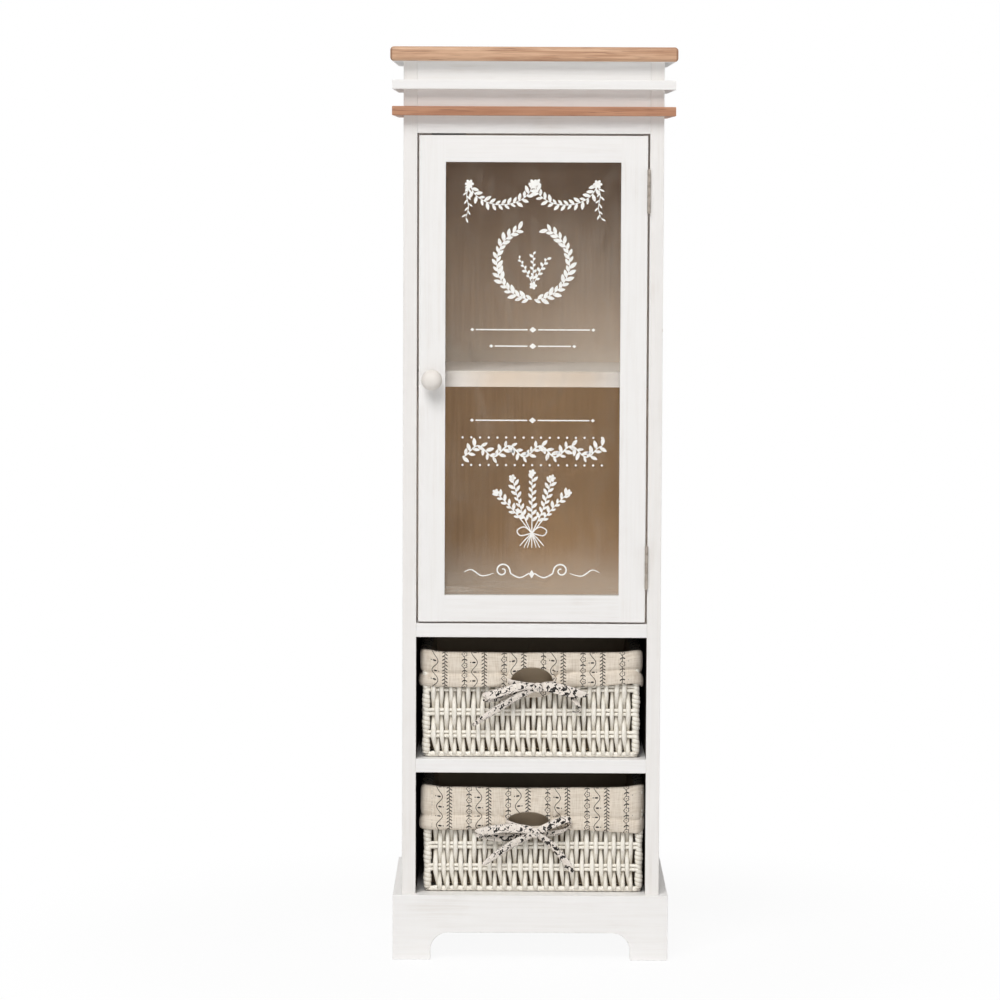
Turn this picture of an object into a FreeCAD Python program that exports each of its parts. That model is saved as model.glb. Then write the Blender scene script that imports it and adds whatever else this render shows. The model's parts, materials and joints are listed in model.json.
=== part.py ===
import FreeCAD, Part
import Sketcher
import math
import os
import re

# Tall painted display cabinet: a glazed door over two open bays with lined wicker baskets.
# Millimetres, +Z up, the front looks along -Y, the origin is under the middle of the whole cabinet.

sizes = {
    # carcass boards
    "body_width": 300,
    "body_depth": 255,
    "board_thickness": 16,
    "back_thickness": 5,
    "back_lap": 8,
    "housing_depth": 5,
    "housing_setback": 12,
    "bay_height": 142.8,
    "display_height": 567.4,
    "shelf_rise": 274,
    "shelf_setback": 24,
    "shelf_thickness": 18.5,
    "frieze_height": 82,
    # crown
    "top_thickness": 17,
    "top_overhang": 15,
    "nose_radius": 4.5,
    "crown_projection": 13,
    "lower_strip_height": 10.6,
    "lower_strip_rise": 20.3,
    "upper_strip_height": 10.7,
    "upper_strip_rise": 50.3,
    # plinth
    "plinth_height": 76,
    "plinth_thickness": 10.4,
    "foot_width": 44,
    "arch_height": 32,
    "arch_radius": 21,
    "block_width": 28,
    "panel_lift": 40,
    # door
    "door_thickness": 16,
    "door_gap": 2.2,
    "stile_width": 30.5,
    "rail_width": 30.8,
    "tenon_length": 20,
    "tenon_thickness": 6,
    "tenon_shoulder": 4,
    "rebate_lap": 7,
    "rebate_lip": 6,
    "glass_thickness": 3,
    "glass_play": 0.5,
    # knob
    "knob_diameter": 26,
    "knob_projection": 24,
    "knob_neck_radius": 6.5,
    "knob_neck_length": 6,
    "knob_flare": 5,
    "knob_face_radius": 5,
    "knob_screw_radius": 2,
    "knob_screw_grip": 11,
    "knob_screw_head_radius": 4.2,
    "knob_screw_head_height": 2.2,
    # butt hinges
    "hinge_height": 50,
    "hinge_inset": 39,
    "leaf_depth": 13,
    "leaf_thickness": 1,
    "leaf_play": 0.4,
    "knuckle_radius": 1.9,
    "knuckle_gap": 0.3,
    "pin_radius": 0.9,
    "pin_tip": 1.2,
    "running_clearance": 0.05,
    # magnetic catch
    "catch_width": 40,
    "catch_depth": 13,
    "catch_height": 11,
    "catch_inset": 14,
    "pole_thickness": 2,
    "pole_proud": 0.6,
    "strike_thickness": 1.2,
    "strike_height": 7,
    "strike_play": 0.3,
    # wicker baskets
    "basket_side_gap": 7,
    "basket_headroom": 21,
    "basket_setback": 14,
    "basket_rear_gap": 12,
    "basket_shift": 2,
    "seat_gap": 0.3,
    "post_radius": 4.5,
    "rim_size": 9,
    "base_rod": 7,
    "rod_size": 3.6,
    "first_rod": 27,
    "top_rod_drop": 3,
    "strand_width": 10,
    "strand_thickness": 2.4,
    "strand_margin": 1.5,
    "weave_swing": 2.8,
    "strands_wide": 12,
    "strands_deep": 12,
    "base_thickness": 4,
    "handle_width": 54,
    "upper_handle_height": 27,
    "lower_handle_height": 38,
    # fabric liner and bow
    "cloth": 1.6,
    "cloth_gap": 0.4,
    "upper_skirt_drop": 40,
    "lower_skirt_drop": 51,
    "skirt_flare": 1.2,
    "hem_height": 12,
    "hem_roll": 0.8,
    "knot_width": 13,
    "knot_height": 12,
    "knot_depth": 7,
    "loop_length": 50,
    "loop_height": 15,
    "loop_depth": 5,
    "tail_length": 66,
    "tail_width": 9,
    "tail_drop": 42,
    "ribbon": 1.6,
}

# Places worked out from the sizes, each written in the words above.
places = {
    "front": "(knob_projection - body_depth) / 2",
    "rear": "front + body_depth",
    "panel_depth": "body_depth - back_thickness",
    "half_body": "body_width / 2",
    "half_inner": "half_body - board_thickness",
    "bottom_base": "plinth_height - board_thickness",
    "divider_base": "plinth_height + bay_height",
    "upper_bay": "divider_base + board_thickness",
    "display_base": "upper_bay + bay_height",
    "display_bottom": "display_base + board_thickness",
    "display_top": "display_bottom + display_height",
    "carcass_top": "display_top + frieze_height",
    "shelf_base": "display_bottom + shelf_rise",
    "hinge_gap": "2 * leaf_thickness + leaf_play",
    "door_left": "door_gap - half_inner",
    "door_right": "half_inner - hinge_gap",
    "door_width": "door_right - door_left",
    "door_base": "display_bottom + door_gap",
    "door_height": "display_height - 2 * door_gap",
    "door_top": "door_base + door_height",
    "door_back": "front + door_thickness",
    "glass_width": "door_width - 2 * stile_width + 2 * rebate_lap - 2 * glass_play",
    "glass_height": "door_height - 2 * rail_width + 2 * rebate_lap - 2 * glass_play",
    "rebate_depth": "door_thickness - rebate_lip",
    "bead_depth": "rebate_depth - glass_thickness",
    "tenon_height": "rail_width - rebate_lap - 2 * tenon_shoulder",
    "knob_across": "door_left + stile_width / 2",
    "knob_level": "door_base + door_height / 2",
    "axis_across": "half_inner - hinge_gap / 2",
    "axis_front": "front - knuckle_radius",
    "lower_hinge": "door_base + hinge_inset",
    "upper_hinge": "door_top - hinge_inset - hinge_height",
    "knuckle_step": "hinge_height / 3",
    "catch_left": "door_left + catch_inset",
    "catch_front": "door_back + strike_thickness + strike_play + pole_proud",
    "basket_width": "2 * half_inner - 2 * basket_side_gap",
    "basket_depth": "panel_depth - basket_setback - basket_rear_gap",
    "basket_height": "bay_height - basket_headroom",
    "basket_front": "front + basket_setback",
    "half_basket": "basket_width / 2",
    "wide_wall": "basket_width - 4 * post_radius",
    "deep_wall": "basket_depth - 4 * post_radius",
    "rim_base": "basket_height - rim_size",
    "wall_inset": "post_radius + rim_size / 2",
    "skirt_reach": "cloth_gap + cloth",
    "liner_top": "basket_height + cloth_gap + cloth",
    "upper_skirt": "liner_top - upper_skirt_drop",
    "lower_skirt": "liner_top - lower_skirt_drop",
    "upper_sill": "rim_base - upper_handle_height",
    "lower_sill": "rim_base - lower_handle_height",
    "rod_step": "(upper_sill - top_rod_drop - first_rod) / 2",
    "bow_front": "basket_front - skirt_reach - skirt_flare - hem_roll",
}

doc = FreeCAD.newDocument("display_cabinet")
sheet = doc.addObject("Spreadsheet::Sheet", "sizes")
for row, (alias, value) in enumerate(sizes.items(), 1):
    sheet.set(f"A{row}", str(value))
    sheet.setAlias(f"A{row}", alias)
doc.recompute()

nodes = []
crown_steps = 3
along_minus_y = FreeCAD.Rotation(FreeCAD.Vector(1, 0, 0), 90)
quarter_turn = FreeCAD.Rotation(FreeCAD.Vector(0, 0, 1), 90)


def formula(words):
    """The words of a size or place as an expression on the sheet's cells."""

    def cell(match):
        word = match.group(0)
        if word in places:
            return f"({formula(places[word])})"
        return f"sizes.{word}"

    return re.sub(r"[a-z_]+", cell, words)


def measure(words):
    return float(sheet.evalExpression(formula(words)))


def bind(item, **properties):
    for name, words in properties.items():
        item.setExpression(name, formula(words))
    return item


def place(item, x, y, z, turn=None):
    if turn:
        item.Placement = FreeCAD.Placement(FreeCAD.Vector(), turn)
    for axis, words in zip("xyz", (x, y, z)):
        item.setExpression(f"Placement.Base.{axis}", formula(words))
    return item


def node(item, label):
    item.Label = label
    nodes.append(item)
    return item


def box(name, corner, extent):
    item = doc.addObject("Part::Box", name)
    bind(item, Length=extent[0], Width=extent[1], Height=extent[2])
    return place(item, *corner)


def cylinder(name, start, radius, length, turn=None):
    item = doc.addObject("Part::Cylinder", name)
    bind(item, Radius=radius, Height=length)
    return place(item, *start, turn)


def fuse(name, members):
    item = doc.addObject("Part::MultiFuse", name)
    item.Shapes = members
    return item


def cut(name, base, tools):
    item = doc.addObject("Part::Cut", name)
    item.Base = base
    item.Tool = tools[0] if len(tools) == 1 else fuse(f"{name}_cuts", tools)
    return item


def group(name, members):
    item = doc.addObject("Part::Compound", name)
    item.Links = members
    return item


def origin_feature(body, role):
    return next(item for item in body.Origin.OriginFeatures if item.Role == role)


def polygon(body, name, plane, *loops):
    """A sketch of closed straight-sided loops, every corner tied to the sheet."""
    sketch = body.newObject("Sketcher::SketchObject", name)
    sketch.AttachmentSupport = [(origin_feature(body, plane), "")]
    sketch.MapMode = "FlatFace"
    for corners in loops:
        points = [FreeCAD.Vector(measure(u), measure(v), 0) for u, v in corners]
        first = sketch.GeometryCount
        count = len(corners)
        for index, point in enumerate(points):
            sketch.addGeometry(Part.LineSegment(point, points[(index + 1) % count]), False)
        for index in range(count):
            following = first + (index + 1) % count
            sketch.addConstraint(Sketcher.Constraint("Coincident", first + index, 2, following, 1))
        for index, (u, v) in enumerate(corners):
            for kind, words in (("DistanceX", u), ("DistanceY", v)):
                tie = Sketcher.Constraint(kind, -1, 1, first + index, 1, measure(words))
                number = sketch.addConstraint(tie)
                sketch.setExpression(f"Constraints[{number}]", formula(words))
    return sketch


def rectangle(left, low, right, high):
    return [(left, low), (right, low), (right, high), (left, high)]


def pad(body, sketch, length, reverse=False):
    feature = body.newObject("PartDesign::Pad", f"{sketch.Name}_pad")
    feature.Profile = sketch
    feature.Reversed = reverse
    return bind(feature, Length=length)


def round_edges(body, radius, chosen):
    """Round the edges of the body's tip that the test picks out."""
    doc.recompute()
    tip = body.Tip
    names = [f"Edge{i}" for i, edge in enumerate(tip.Shape.Edges, 1) if chosen(edge.BoundBox)]
    feature = body.newObject("PartDesign::Fillet", f"{body.Name}_rounding")
    feature.Base = (tip, names)
    return bind(feature, Radius=radius)


def flat_body(label, plane, corners, thickness, corner, reverse=False):
    """A board sawn to an outline."""
    body = doc.addObject("PartDesign::Body", label)
    pad(body, polygon(body, f"{label}_outline", plane, corners), thickness, reverse)
    node(body, label)
    return place(body, *corner)


def carcass():
    housings = [
        ("bottom_base", "housing_setback", "board_thickness"),
        ("divider_base", "housing_setback", "board_thickness"),
        ("display_base", "housing_setback", "board_thickness"),
        ("shelf_base", "shelf_setback", "shelf_thickness"),
        ("display_top", "board_thickness", "board_thickness"),
    ]
    for side, outer, housing, lap in (
        ("left", "-half_body", "-half_inner - housing_depth", "-half_inner - back_lap"),
        ("right", "half_inner", "half_inner", "half_inner"),
    ):
        label = f"{side}_side_panel"
        extent = ("board_thickness", "body_depth", "carcass_top - panel_lift")
        blank = box(f"{label}_blank", (outer, "front", "panel_lift"), extent)
        extent = ("back_lap", "back_thickness", "carcass_top - panel_lift")
        cuts = [box(f"{label}_rebate", (lap, "front + panel_depth", "panel_lift"), extent)]
        for index, (base, setback, thickness) in enumerate(housings):
            extent = ("housing_depth", f"panel_depth - {setback}", thickness)
            cuts.append(box(f"{label}_housing_{index}", (housing, f"front + {setback}", base), extent))
        node(cut(label, blank, cuts), label)

    # boards whose ends are notched at the front and seat in stopped housings
    notched = [
        ("-half_inner", "0"),
        ("half_inner", "0"),
        ("half_inner", "housing_setback"),
        ("half_inner + housing_depth", "housing_setback"),
        ("half_inner + housing_depth", "panel_depth"),
        ("-half_inner - housing_depth", "panel_depth"),
        ("-half_inner - housing_depth", "housing_setback"),
        ("-half_inner", "housing_setback"),
    ]
    for label, base in (
        ("bottom_panel", "bottom_base"),
        ("basket_divider", "divider_base"),
        ("display_floor", "display_base"),
    ):
        flat_body(label, "XY_Plane", notched, "board_thickness", ("0", "front", base))

    for label, base, setback, thickness in (
        ("display_shelf", "shelf_base", "shelf_setback", "shelf_thickness"),
        ("ceiling_panel", "display_top", "board_thickness", "board_thickness"),
    ):
        corner = ("-half_inner - housing_depth", f"front + {setback}", base)
        extent = ("2 * half_inner + 2 * housing_depth", f"panel_depth - {setback}", thickness)
        node(box(label, corner, extent), label)

    corner = ("-half_inner", "front", "display_top")
    extent = ("2 * half_inner", "board_thickness", "frieze_height")
    node(box("frieze_board", corner, extent), "frieze_board")

    corner = ("-half_inner - back_lap", "front + panel_depth", "bottom_base")
    extent = ("2 * half_inner + 2 * back_lap", "back_thickness", "carcass_top - bottom_base")
    node(box("back_panel", corner, extent), "back_panel")


def crown():
    half_top = "half_body + top_overhang"
    outline = rectangle(f"-({half_top})", "-top_overhang", half_top, "body_depth")
    board = flat_body("top_board", "XY_Plane", outline, "top_thickness", ("0", "front", "carcass_top"))
    rear = measure("body_depth")

    def nosed(bounds):
        level = bounds.ZLength < bounds.DiagonalLength / 2
        return level and bounds.YMin < rear - bounds.YLength / 2 - 1

    round_edges(board, "nose_radius", nosed)

    # mitred strips: three sides of a square-edged band
    front_strip = [
        ("-half_body", "0"),
        ("-half_body - crown_projection", "-crown_projection"),
        ("half_body + crown_projection", "-crown_projection"),
        ("half_body", "0"),
    ]
    left_strip = [
        ("-half_body", "0"),
        ("-half_body", "body_depth"),
        ("-half_body - crown_projection", "body_depth"),
        ("-half_body - crown_projection", "-crown_projection"),
    ]
    right_strip = [
        ("half_body", "0"),
        ("half_body + crown_projection", "-crown_projection"),
        ("half_body + crown_projection", "body_depth"),
        ("half_body", "body_depth"),
    ]
    for band in ("lower", "upper"):
        corner = ("0", "front", f"display_top + {band}_strip_rise")
        for side, outline in (("front", front_strip), ("left", left_strip), ("right", right_strip)):
            flat_body(f"{band}_crown_{side}", "XY_Plane", outline, f"{band}_strip_height", corner)


def plinth():
    def arched(half_length):
        foot = f"{half_length} - foot_width"
        return [
            (f"-({half_length})", "0"),
            (f"-({foot})", "0"),
            (f"-({foot})", "arch_height"),
            (foot, "arch_height"),
            (foot, "0"),
            (half_length, "0"),
            (half_length, "plinth_height"),
            (f"-({half_length})", "plinth_height"),
        ]

    def arch_corner(bounds):
        return abs(bounds.ZMin - rise) < 0.1 and bounds.ZLength < 0.1 and bounds.DiagonalLength < rise

    rise = measure("arch_height")
    outline = arched("half_body + plinth_thickness")
    board = flat_body("plinth_front", "XZ_Plane", outline, "plinth_thickness", ("0", "front", "0"))
    round_edges(board, "arch_radius", arch_corner)

    outline = arched("body_depth / 2")
    for side, inner, reverse in (("left", "-half_body", True), ("right", "half_body", False)):
        corner = (inner, "front + body_depth / 2", "0")
        label = f"plinth_{side}"
        board = flat_body(label, "YZ_Plane", outline, "plinth_thickness", corner, reverse)
        round_edges(board, "arch_radius", arch_corner)

    # blocks glued in the corners of the plinth carry the ends of the side panels
    blocks = []
    for x in ("-half_body", "half_body - block_width"):
        for y in ("front", "rear - block_width"):
            extent = ("block_width", "block_width", "panel_lift")
            blocks.append(box(f"corner_block_{len(blocks)}", (x, y, "0"), extent))
    node(group("plinth_corner_blocks", blocks), "plinth_corner_blocks")


def door():
    rebate_rise = "door_base + rail_width - rebate_lap"
    rebate_run = "door_height - 2 * rail_width + 2 * rebate_lap"
    tenon_front = "front + rebate_lip"
    tenons = (
        ("bottom", "door_base + tenon_shoulder"),
        ("top", "door_top - tenon_shoulder - tenon_height"),
    )
    rail_left = "door_left + stile_width"
    rail_right = "door_right - stile_width"
    for side, left, rebate, mortise in (
        ("knob", "door_left", f"{rail_left} - rebate_lap", f"{rail_left} - tenon_length"),
        ("hinge", rail_right, rail_right, rail_right),
    ):
        label = f"door_{side}_stile"
        extent = ("stile_width", "door_thickness", "door_height")
        blank = box(f"{label}_blank", (left, "front", "door_base"), extent)
        corner = (rebate, "front + rebate_lip", rebate_rise)
        cuts = [box(f"{label}_rebate", corner, ("rebate_lap", "rebate_depth", rebate_run))]
        for end, base in tenons:
            extent = ("tenon_length", "tenon_thickness", "tenon_height")
            cuts.append(box(f"{label}_{end}_mortise", (mortise, tenon_front, base), extent))
        if side == "knob":
            start = ("knob_across", "door_back", "knob_level")
            bore = "knob_screw_radius + running_clearance"
            cuts.append(cylinder("knob_bore", start, bore, "door_thickness", along_minus_y))
        node(cut(label, blank, cuts), label)

    rail_length = "door_width - 2 * stile_width"
    for (end, tenon_base), base, rebate_base in zip(
        tenons,
        ("door_base", "door_top - rail_width"),
        ("door_base + rail_width - rebate_lap", "door_top - rail_width"),
    ):
        label = f"door_{end}_rail"
        extent = (rail_length, "door_thickness", "rail_width")
        blank = box(f"{label}_blank", (rail_left, "front", base), extent)
        tenon = box(
            f"{label}_tenons",
            (f"{rail_left} - tenon_length", tenon_front, tenon_base),
            (f"{rail_length} + 2 * tenon_length", "tenon_thickness", "tenon_height"),
        )
        corner = (rail_left, "front + rebate_lip", rebate_base)
        rebate = box(f"{label}_rebate", corner, (rail_length, "rebate_depth", "rebate_lap"))
        node(cut(label, fuse(f"{label}_solid", [blank, tenon]), [rebate]), label)

    glass_left = f"{rail_left} - rebate_lap + glass_play"
    glass_base = "door_base + rail_width - rebate_lap + glass_play"
    corner = (glass_left, "front + rebate_lip", glass_base)
    node(box("door_glass", corner, ("glass_width", "glass_thickness", "glass_height")), "door_glass")

    bead_front = "front + rebate_lip + glass_thickness"
    bead_left = f"{rail_left} - rebate_lap"
    beads = []
    for base in (rebate_rise, "door_top - rail_width"):
        extent = ("door_width - 2 * stile_width + 2 * rebate_lap", "bead_depth", "rebate_lap")
        beads.append(box(f"bead_{len(beads)}", (bead_left, bead_front, base), extent))
    for left in (bead_left, rail_right):
        extent = ("rebate_lap", "bead_depth", "door_height - 2 * rail_width")
        beads.append(box(f"bead_{len(beads)}", (left, bead_front, "door_base + rail_width"), extent))
    node(group("glazing_beads", beads), "glazing_beads")


def knob():
    """Turned knob: a neck, a flared underside and a crown along an ellipse up to a small flat face."""
    body = doc.addObject("PartDesign::Body", "door_knob")
    flare_end = "(knob_neck_length + knob_flare)"
    bore = "knob_screw_radius + running_clearance"
    profile = [
        (bore, "0"),
        ("knob_neck_radius", "0"),
        ("knob_neck_radius", "knob_neck_length"),
    ]
    for step in range(crown_steps):
        turn = math.pi / 2 * step / crown_steps
        across, ahead = round(math.cos(turn), 6), round(math.sin(turn), 6)
        level = f"{flare_end} + {ahead} * (knob_projection - {flare_end})"
        swell = f"{across} * (knob_diameter / 2 - knob_face_radius)"
        profile.append((f"knob_face_radius + {swell}", level))
    profile += [("knob_face_radius", "knob_projection"), ("0", "knob_projection")]
    profile += [("0", "knob_screw_grip"), (bore, "knob_screw_grip")]
    sketch = polygon(body, "knob_profile", "XZ_Plane", profile)
    turned = body.newObject("PartDesign::Revolution", "knob_turning")
    turned.Profile = sketch
    turned.ReferenceAxis = (sketch, ["V_Axis"])
    turned.Angle = 360
    node(body, "door_knob")
    place(body, "knob_across", "front", "knob_level", along_minus_y)

    start = ("knob_across", "door_back + knob_screw_head_height", "knob_level")
    shank_length = "door_thickness + knob_screw_grip + knob_screw_head_height"
    shank = cylinder("knob_screw_shank", start, "knob_screw_radius", shank_length, along_minus_y)
    head_height = "knob_screw_head_height"
    head = cylinder("knob_screw_head", start, "knob_screw_head_radius", head_height, along_minus_y)
    node(fuse("knob_screw", [shank, head]), "knob_screw")


def hinges():
    """Butt hinges of three knuckles: two on the side panel's leaf, one on the door's."""
    for level in ("upper", "lower"):
        base = f"{level}_hinge"
        pin_start = ("axis_across", "axis_front", f"{base} - pin_tip")
        pin_length = "hinge_height + 2 * pin_tip"
        for side, plate_left, turns in (
            ("frame", "half_inner - leaf_thickness", (0, 2)),
            ("door", "door_right", (1,)),
        ):
            label = f"{base}_{side}_leaf"
            corner = (plate_left, "front + knuckle_gap", base)
            extent = ("leaf_thickness", "leaf_depth - knuckle_gap", "hinge_height")
            solids = [box(f"{label}_plate", corner, extent)]
            for index in turns:
                rise = f"{base} + {index} * knuckle_step + knuckle_gap / 2"
                length = "knuckle_step - knuckle_gap"
                axis = ("axis_across", "axis_front", rise)
                solids.append(cylinder(f"{label}_knuckle_{index}", axis, "knuckle_radius", length))
                extent = ("leaf_thickness", "knuckle_radius + knuckle_gap", length)
                solids.append(box(f"{label}_tab_{index}", (plate_left, "axis_front", rise), extent))
            bore = cylinder(f"{label}_bore", pin_start, "pin_radius + running_clearance", pin_length)
            node(cut(label, fuse(f"{label}_solid", solids), [bore]), label)
        node(cylinder(f"{base}_pin", pin_start, "pin_radius", pin_length), f"{base}_pin")


def catch():
    """Magnetic catch under the ceiling panel, its two pole plates facing the strike on the door."""
    base = "display_top - catch_height"
    extent = ("catch_width", "catch_depth", "catch_height")
    case = box("catch_case", ("catch_left", "catch_front", base), extent)
    poles = []
    for index in (1, 2):
        corner = (
            "catch_left + pole_thickness",
            "catch_front - pole_proud",
            f"{base} + {index} * catch_height / 3 - pole_thickness / 2",
        )
        extent = ("catch_width - 2 * pole_thickness", "pole_proud + pole_thickness", "pole_thickness")
        poles.append(box(f"catch_pole_{index}", corner, extent))
    node(fuse("magnetic_catch", [case] + poles), "magnetic_catch")
    strike_base = f"{base} + (catch_height - strike_height) / 2 - door_gap / 2"
    extent = ("catch_width", "strike_thickness", "strike_height")
    node(box("strike_plate", ("catch_left", "door_back", strike_base), extent), "strike_plate")


def woven_wall(label, length, strands, corner, turn=None, sill=None):
    """Rods held by two families of upright strands that weave in front of and behind them in turn."""
    body = doc.addObject("PartDesign::Body", label)
    levels = [
        ("base_rod / 2", 0),
        ("first_rod", 1),
        ("first_rod + rod_step", -1),
        ("first_rod + 2 * rod_step", 1),
        ("rim_base + rim_size / 2", 0),
    ]

    def strand(family, direction):
        swings = [(f"{direction * side} * weave_swing", level) for level, side in levels]
        near = [(f"{swing} - strand_thickness / 2", level) for swing, level in swings]
        far = [(f"{swing} + strand_thickness / 2", level) for swing, level in swings]
        return polygon(body, f"{label}_{family}", "YZ_Plane", near + far[::-1])

    pitch = f"({length} - 2 * strand_margin - strand_width) / ({strands} - 1)"
    families = []
    for family, direction, start in (
        ("first", 1, "strand_margin"),
        ("second", -1, f"strand_margin + {pitch}"),
    ):
        sketch = strand(family, direction)
        sketch.setExpression("AttachmentOffset.Base.z", formula(start))
        families.append(pad(body, sketch, "strand_width"))
        if family == "first":
            rods = [rectangle("-base_rod / 2", "0", "base_rod / 2", "base_rod")]
            for level, side in levels[1:4]:
                low, high = f"{level} - rod_size / 2", f"{level} + rod_size / 2"
                rods.append(rectangle("-rod_size / 2", low, "rod_size / 2", high))
            rods.append(rectangle("-rim_size / 2", "rim_base", "rim_size / 2", "basket_height"))
            pad(body, polygon(body, f"{label}_rods", "YZ_Plane", *rods), length)
    for family in families:
        doc.recompute()
        pattern = body.newObject("PartDesign::LinearPattern", f"{family.Name}_row")
        pattern.Originals = [family]
        pattern.Direction = (origin_feature(body, "X_Axis"), [""])
        bind(pattern, Length=f"2 * {pitch} * ({strands} / 2 - 1)", Occurrences=f"{strands} / 2")
        body.Tip = pattern
    if sill:
        middle = f"({length}) / 2"
        left, right = f"{middle} - handle_width / 2", f"{middle} + handle_width / 2"
        outline = rectangle(left, sill, right, "rim_base")
        sketch = polygon(body, f"{label}_grip", "XZ_Plane", outline)
        opening = body.newObject("PartDesign::Pocket", f"{label}_handle")
        opening.Profile = sketch
        opening.SideType = "Symmetric"
        bind(opening, Length="2 * rim_size")
    node(body, label)
    place(body, *corner, turn)


def liner(prefix, bay, shift, hem_base, sill):
    """Fabric bag folded over the rim into a flared skirt with a hem and a handle arch."""
    label = f"{prefix}_liner"
    base = f"{bay} + seat_gap"

    def block(name, spread, low, high):
        corner = (
            f"{shift} - half_basket - ({spread})",
            f"basket_front - ({spread})",
            f"{base} + {low}",
        )
        extent = (
            f"basket_width + 2 * ({spread})",
            f"basket_depth + 2 * ({spread})",
            f"{high} - ({low})",
        )
        return box(f"{label}_{name}", corner, extent)

    def flared(name, spread, low, high):
        item = doc.addObject("Part::Wedge", f"{label}_{name}")
        wide, deep = f"basket_width + 2 * ({spread})", f"basket_depth + 2 * ({spread})"
        bind(item, Xmin="0", Zmin="0", X2min="0 - skirt_flare", Z2min="0 - skirt_flare")
        bind(item, Xmax=wide, Zmax=deep, X2max=f"{wide} + skirt_flare", Z2max=f"{deep} + skirt_flare")
        bind(item, Ymin="0", Ymax=f"{high} - ({low})")
        down = FreeCAD.Rotation(FreeCAD.Vector(1, 0, 0), -90)
        corner = (
            f"{shift} - half_basket - ({spread})",
            f"basket_front - ({spread})",
            f"{base} + {high}",
        )
        return place(item, *corner, down)

    inside = "0 - wall_inset - cloth_gap"
    skirt = flared("skirt", "skirt_reach", hem_base, "liner_top")
    hem_spread = "skirt_reach + skirt_flare + hem_roll"
    hem = block("hem", hem_spread, hem_base, f"{hem_base} + hem_height")
    under = flared("under_skirt", "cloth_gap", hem_base, "liner_top - cloth")
    bag = block("bag", inside, "base_thickness + cloth_gap", "liner_top")
    floor = "base_thickness + cloth_gap + cloth"
    hollow = block("hollow", f"{inside} - cloth", floor, "liner_top + cloth")
    arch_start = (
        shift,
        "basket_front + wall_inset + cloth_gap + 2 * cloth",
        f"{base} + {sill}",
    )
    reach = "wall_inset + 2 * cloth_gap + 4 * cloth + 2 * skirt_flare + 2 * hem_roll"
    arch = cylinder(f"{label}_arch", arch_start, "handle_width / 2", reach, along_minus_y)
    gap_corner = (
        f"{shift} - handle_width / 2",
        "basket_front - skirt_reach - 2 * skirt_flare - 2 * hem_roll",
        f"{base} + {hem_base} - cloth",
    )
    gap_depth = "post_radius + skirt_reach + 2 * skirt_flare + 2 * hem_roll"
    gap_extent = ("handle_width", gap_depth, f"{sill} - {hem_base} + cloth")
    gap = box(f"{label}_gap", gap_corner, gap_extent)
    outer = cut(f"{label}_outer", fuse(f"{label}_fold", [skirt, hem]), [under])
    whole = fuse(f"{label}_whole", [outer, bag])
    node(cut(label, whole, [hollow, arch, gap]), label)


def bow(prefix, bay, shift, level):
    """Ribbon bow at the foot of the handle arch: a knot, two loops and two tails."""
    label = f"{prefix}_bow"
    body = doc.addObject("PartDesign::Body", label)
    half_knot = "knot_width / 2"
    knot = rectangle(f"-{half_knot}", "-knot_height / 2", half_knot, "knot_height / 2")
    pad(body, polygon(body, f"{label}_knot", "XZ_Plane", knot), "knot_depth")
    for side, sign in (("left", "-1"), ("right", "1")):
        loop = [
            (f"{sign} * ({half_knot} - ribbon)", "-knot_height / 4"),
            (f"{sign} * (loop_length - loop_height / 2)", "-loop_height / 2"),
            (f"{sign} * loop_length", "0"),
            (f"{sign} * (loop_length - loop_height / 2)", "loop_height / 2"),
            (f"{sign} * ({half_knot} - ribbon)", "knot_height / 4"),
        ]
        pad(body, polygon(body, f"{label}_{side}_loop", "XZ_Plane", loop), "loop_depth")
        tail = [
            (f"{sign} * ribbon", "0 - knot_height / 2 + ribbon"),
            (f"{sign} * (ribbon + tail_width)", "0 - knot_height / 2 + ribbon"),
            (f"{sign} * tail_length", "0 - tail_drop"),
            (f"{sign} * (tail_length - tail_width)", "0 - tail_drop - ribbon"),
        ]
        pad(body, polygon(body, f"{label}_{side}_tail", "XZ_Plane", tail), "ribbon")
    node(body, label)
    place(body, shift, "bow_front", f"{bay} + seat_gap + {level}")


def basket(prefix, bay, shift, hem_base, sill):
    base = f"{bay} + seat_gap"
    left = f"{shift} - half_basket"
    right = f"{shift} + half_basket"
    rear = "basket_front + basket_depth"
    wide_start = f"{left} + 2 * post_radius"
    deep_start = "basket_front + 2 * post_radius"
    near, far = "basket_front + post_radius", f"{rear} - post_radius"
    corner = (wide_start, near, base)
    woven_wall(f"{prefix}_front_wall", "wide_wall", "strands_wide", corner, sill=sill)
    woven_wall(f"{prefix}_back_wall", "wide_wall", "strands_wide", (wide_start, far, base))
    for side, across in (("left", f"{left} + post_radius"), ("right", f"{right} - post_radius")):
        corner = (across, deep_start, base)
        woven_wall(f"{prefix}_{side}_wall", "deep_wall", "strands_deep", corner, quarter_turn)

    posts = []
    for across in (f"{left} + post_radius", f"{right} - post_radius"):
        for depth in (near, far):
            name = f"{prefix}_post_{len(posts)}"
            posts.append(cylinder(name, (across, depth, base), "post_radius", "basket_height"))
    node(group(f"{prefix}_corner_posts", posts), f"{prefix}_corner_posts")

    inset = "post_radius + base_rod / 2"
    corner = (f"{left} + {inset}", f"basket_front + {inset}", base)
    extent = (f"basket_width - 2 * ({inset})", f"basket_depth - 2 * ({inset})", "base_thickness")
    node(box(f"{prefix}_base", corner, extent), f"{prefix}_base")

    liner(prefix, bay, shift, hem_base, sill)
    bow(prefix, bay, shift, hem_base)


carcass()
crown()
plinth()
door()
knob()
hinges()
catch()
basket("upper_basket", "upper_bay", "0", "upper_skirt", "upper_sill")
basket("lower_basket", "plinth_height", "basket_shift", "lower_skirt", "lower_sill")

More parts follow.
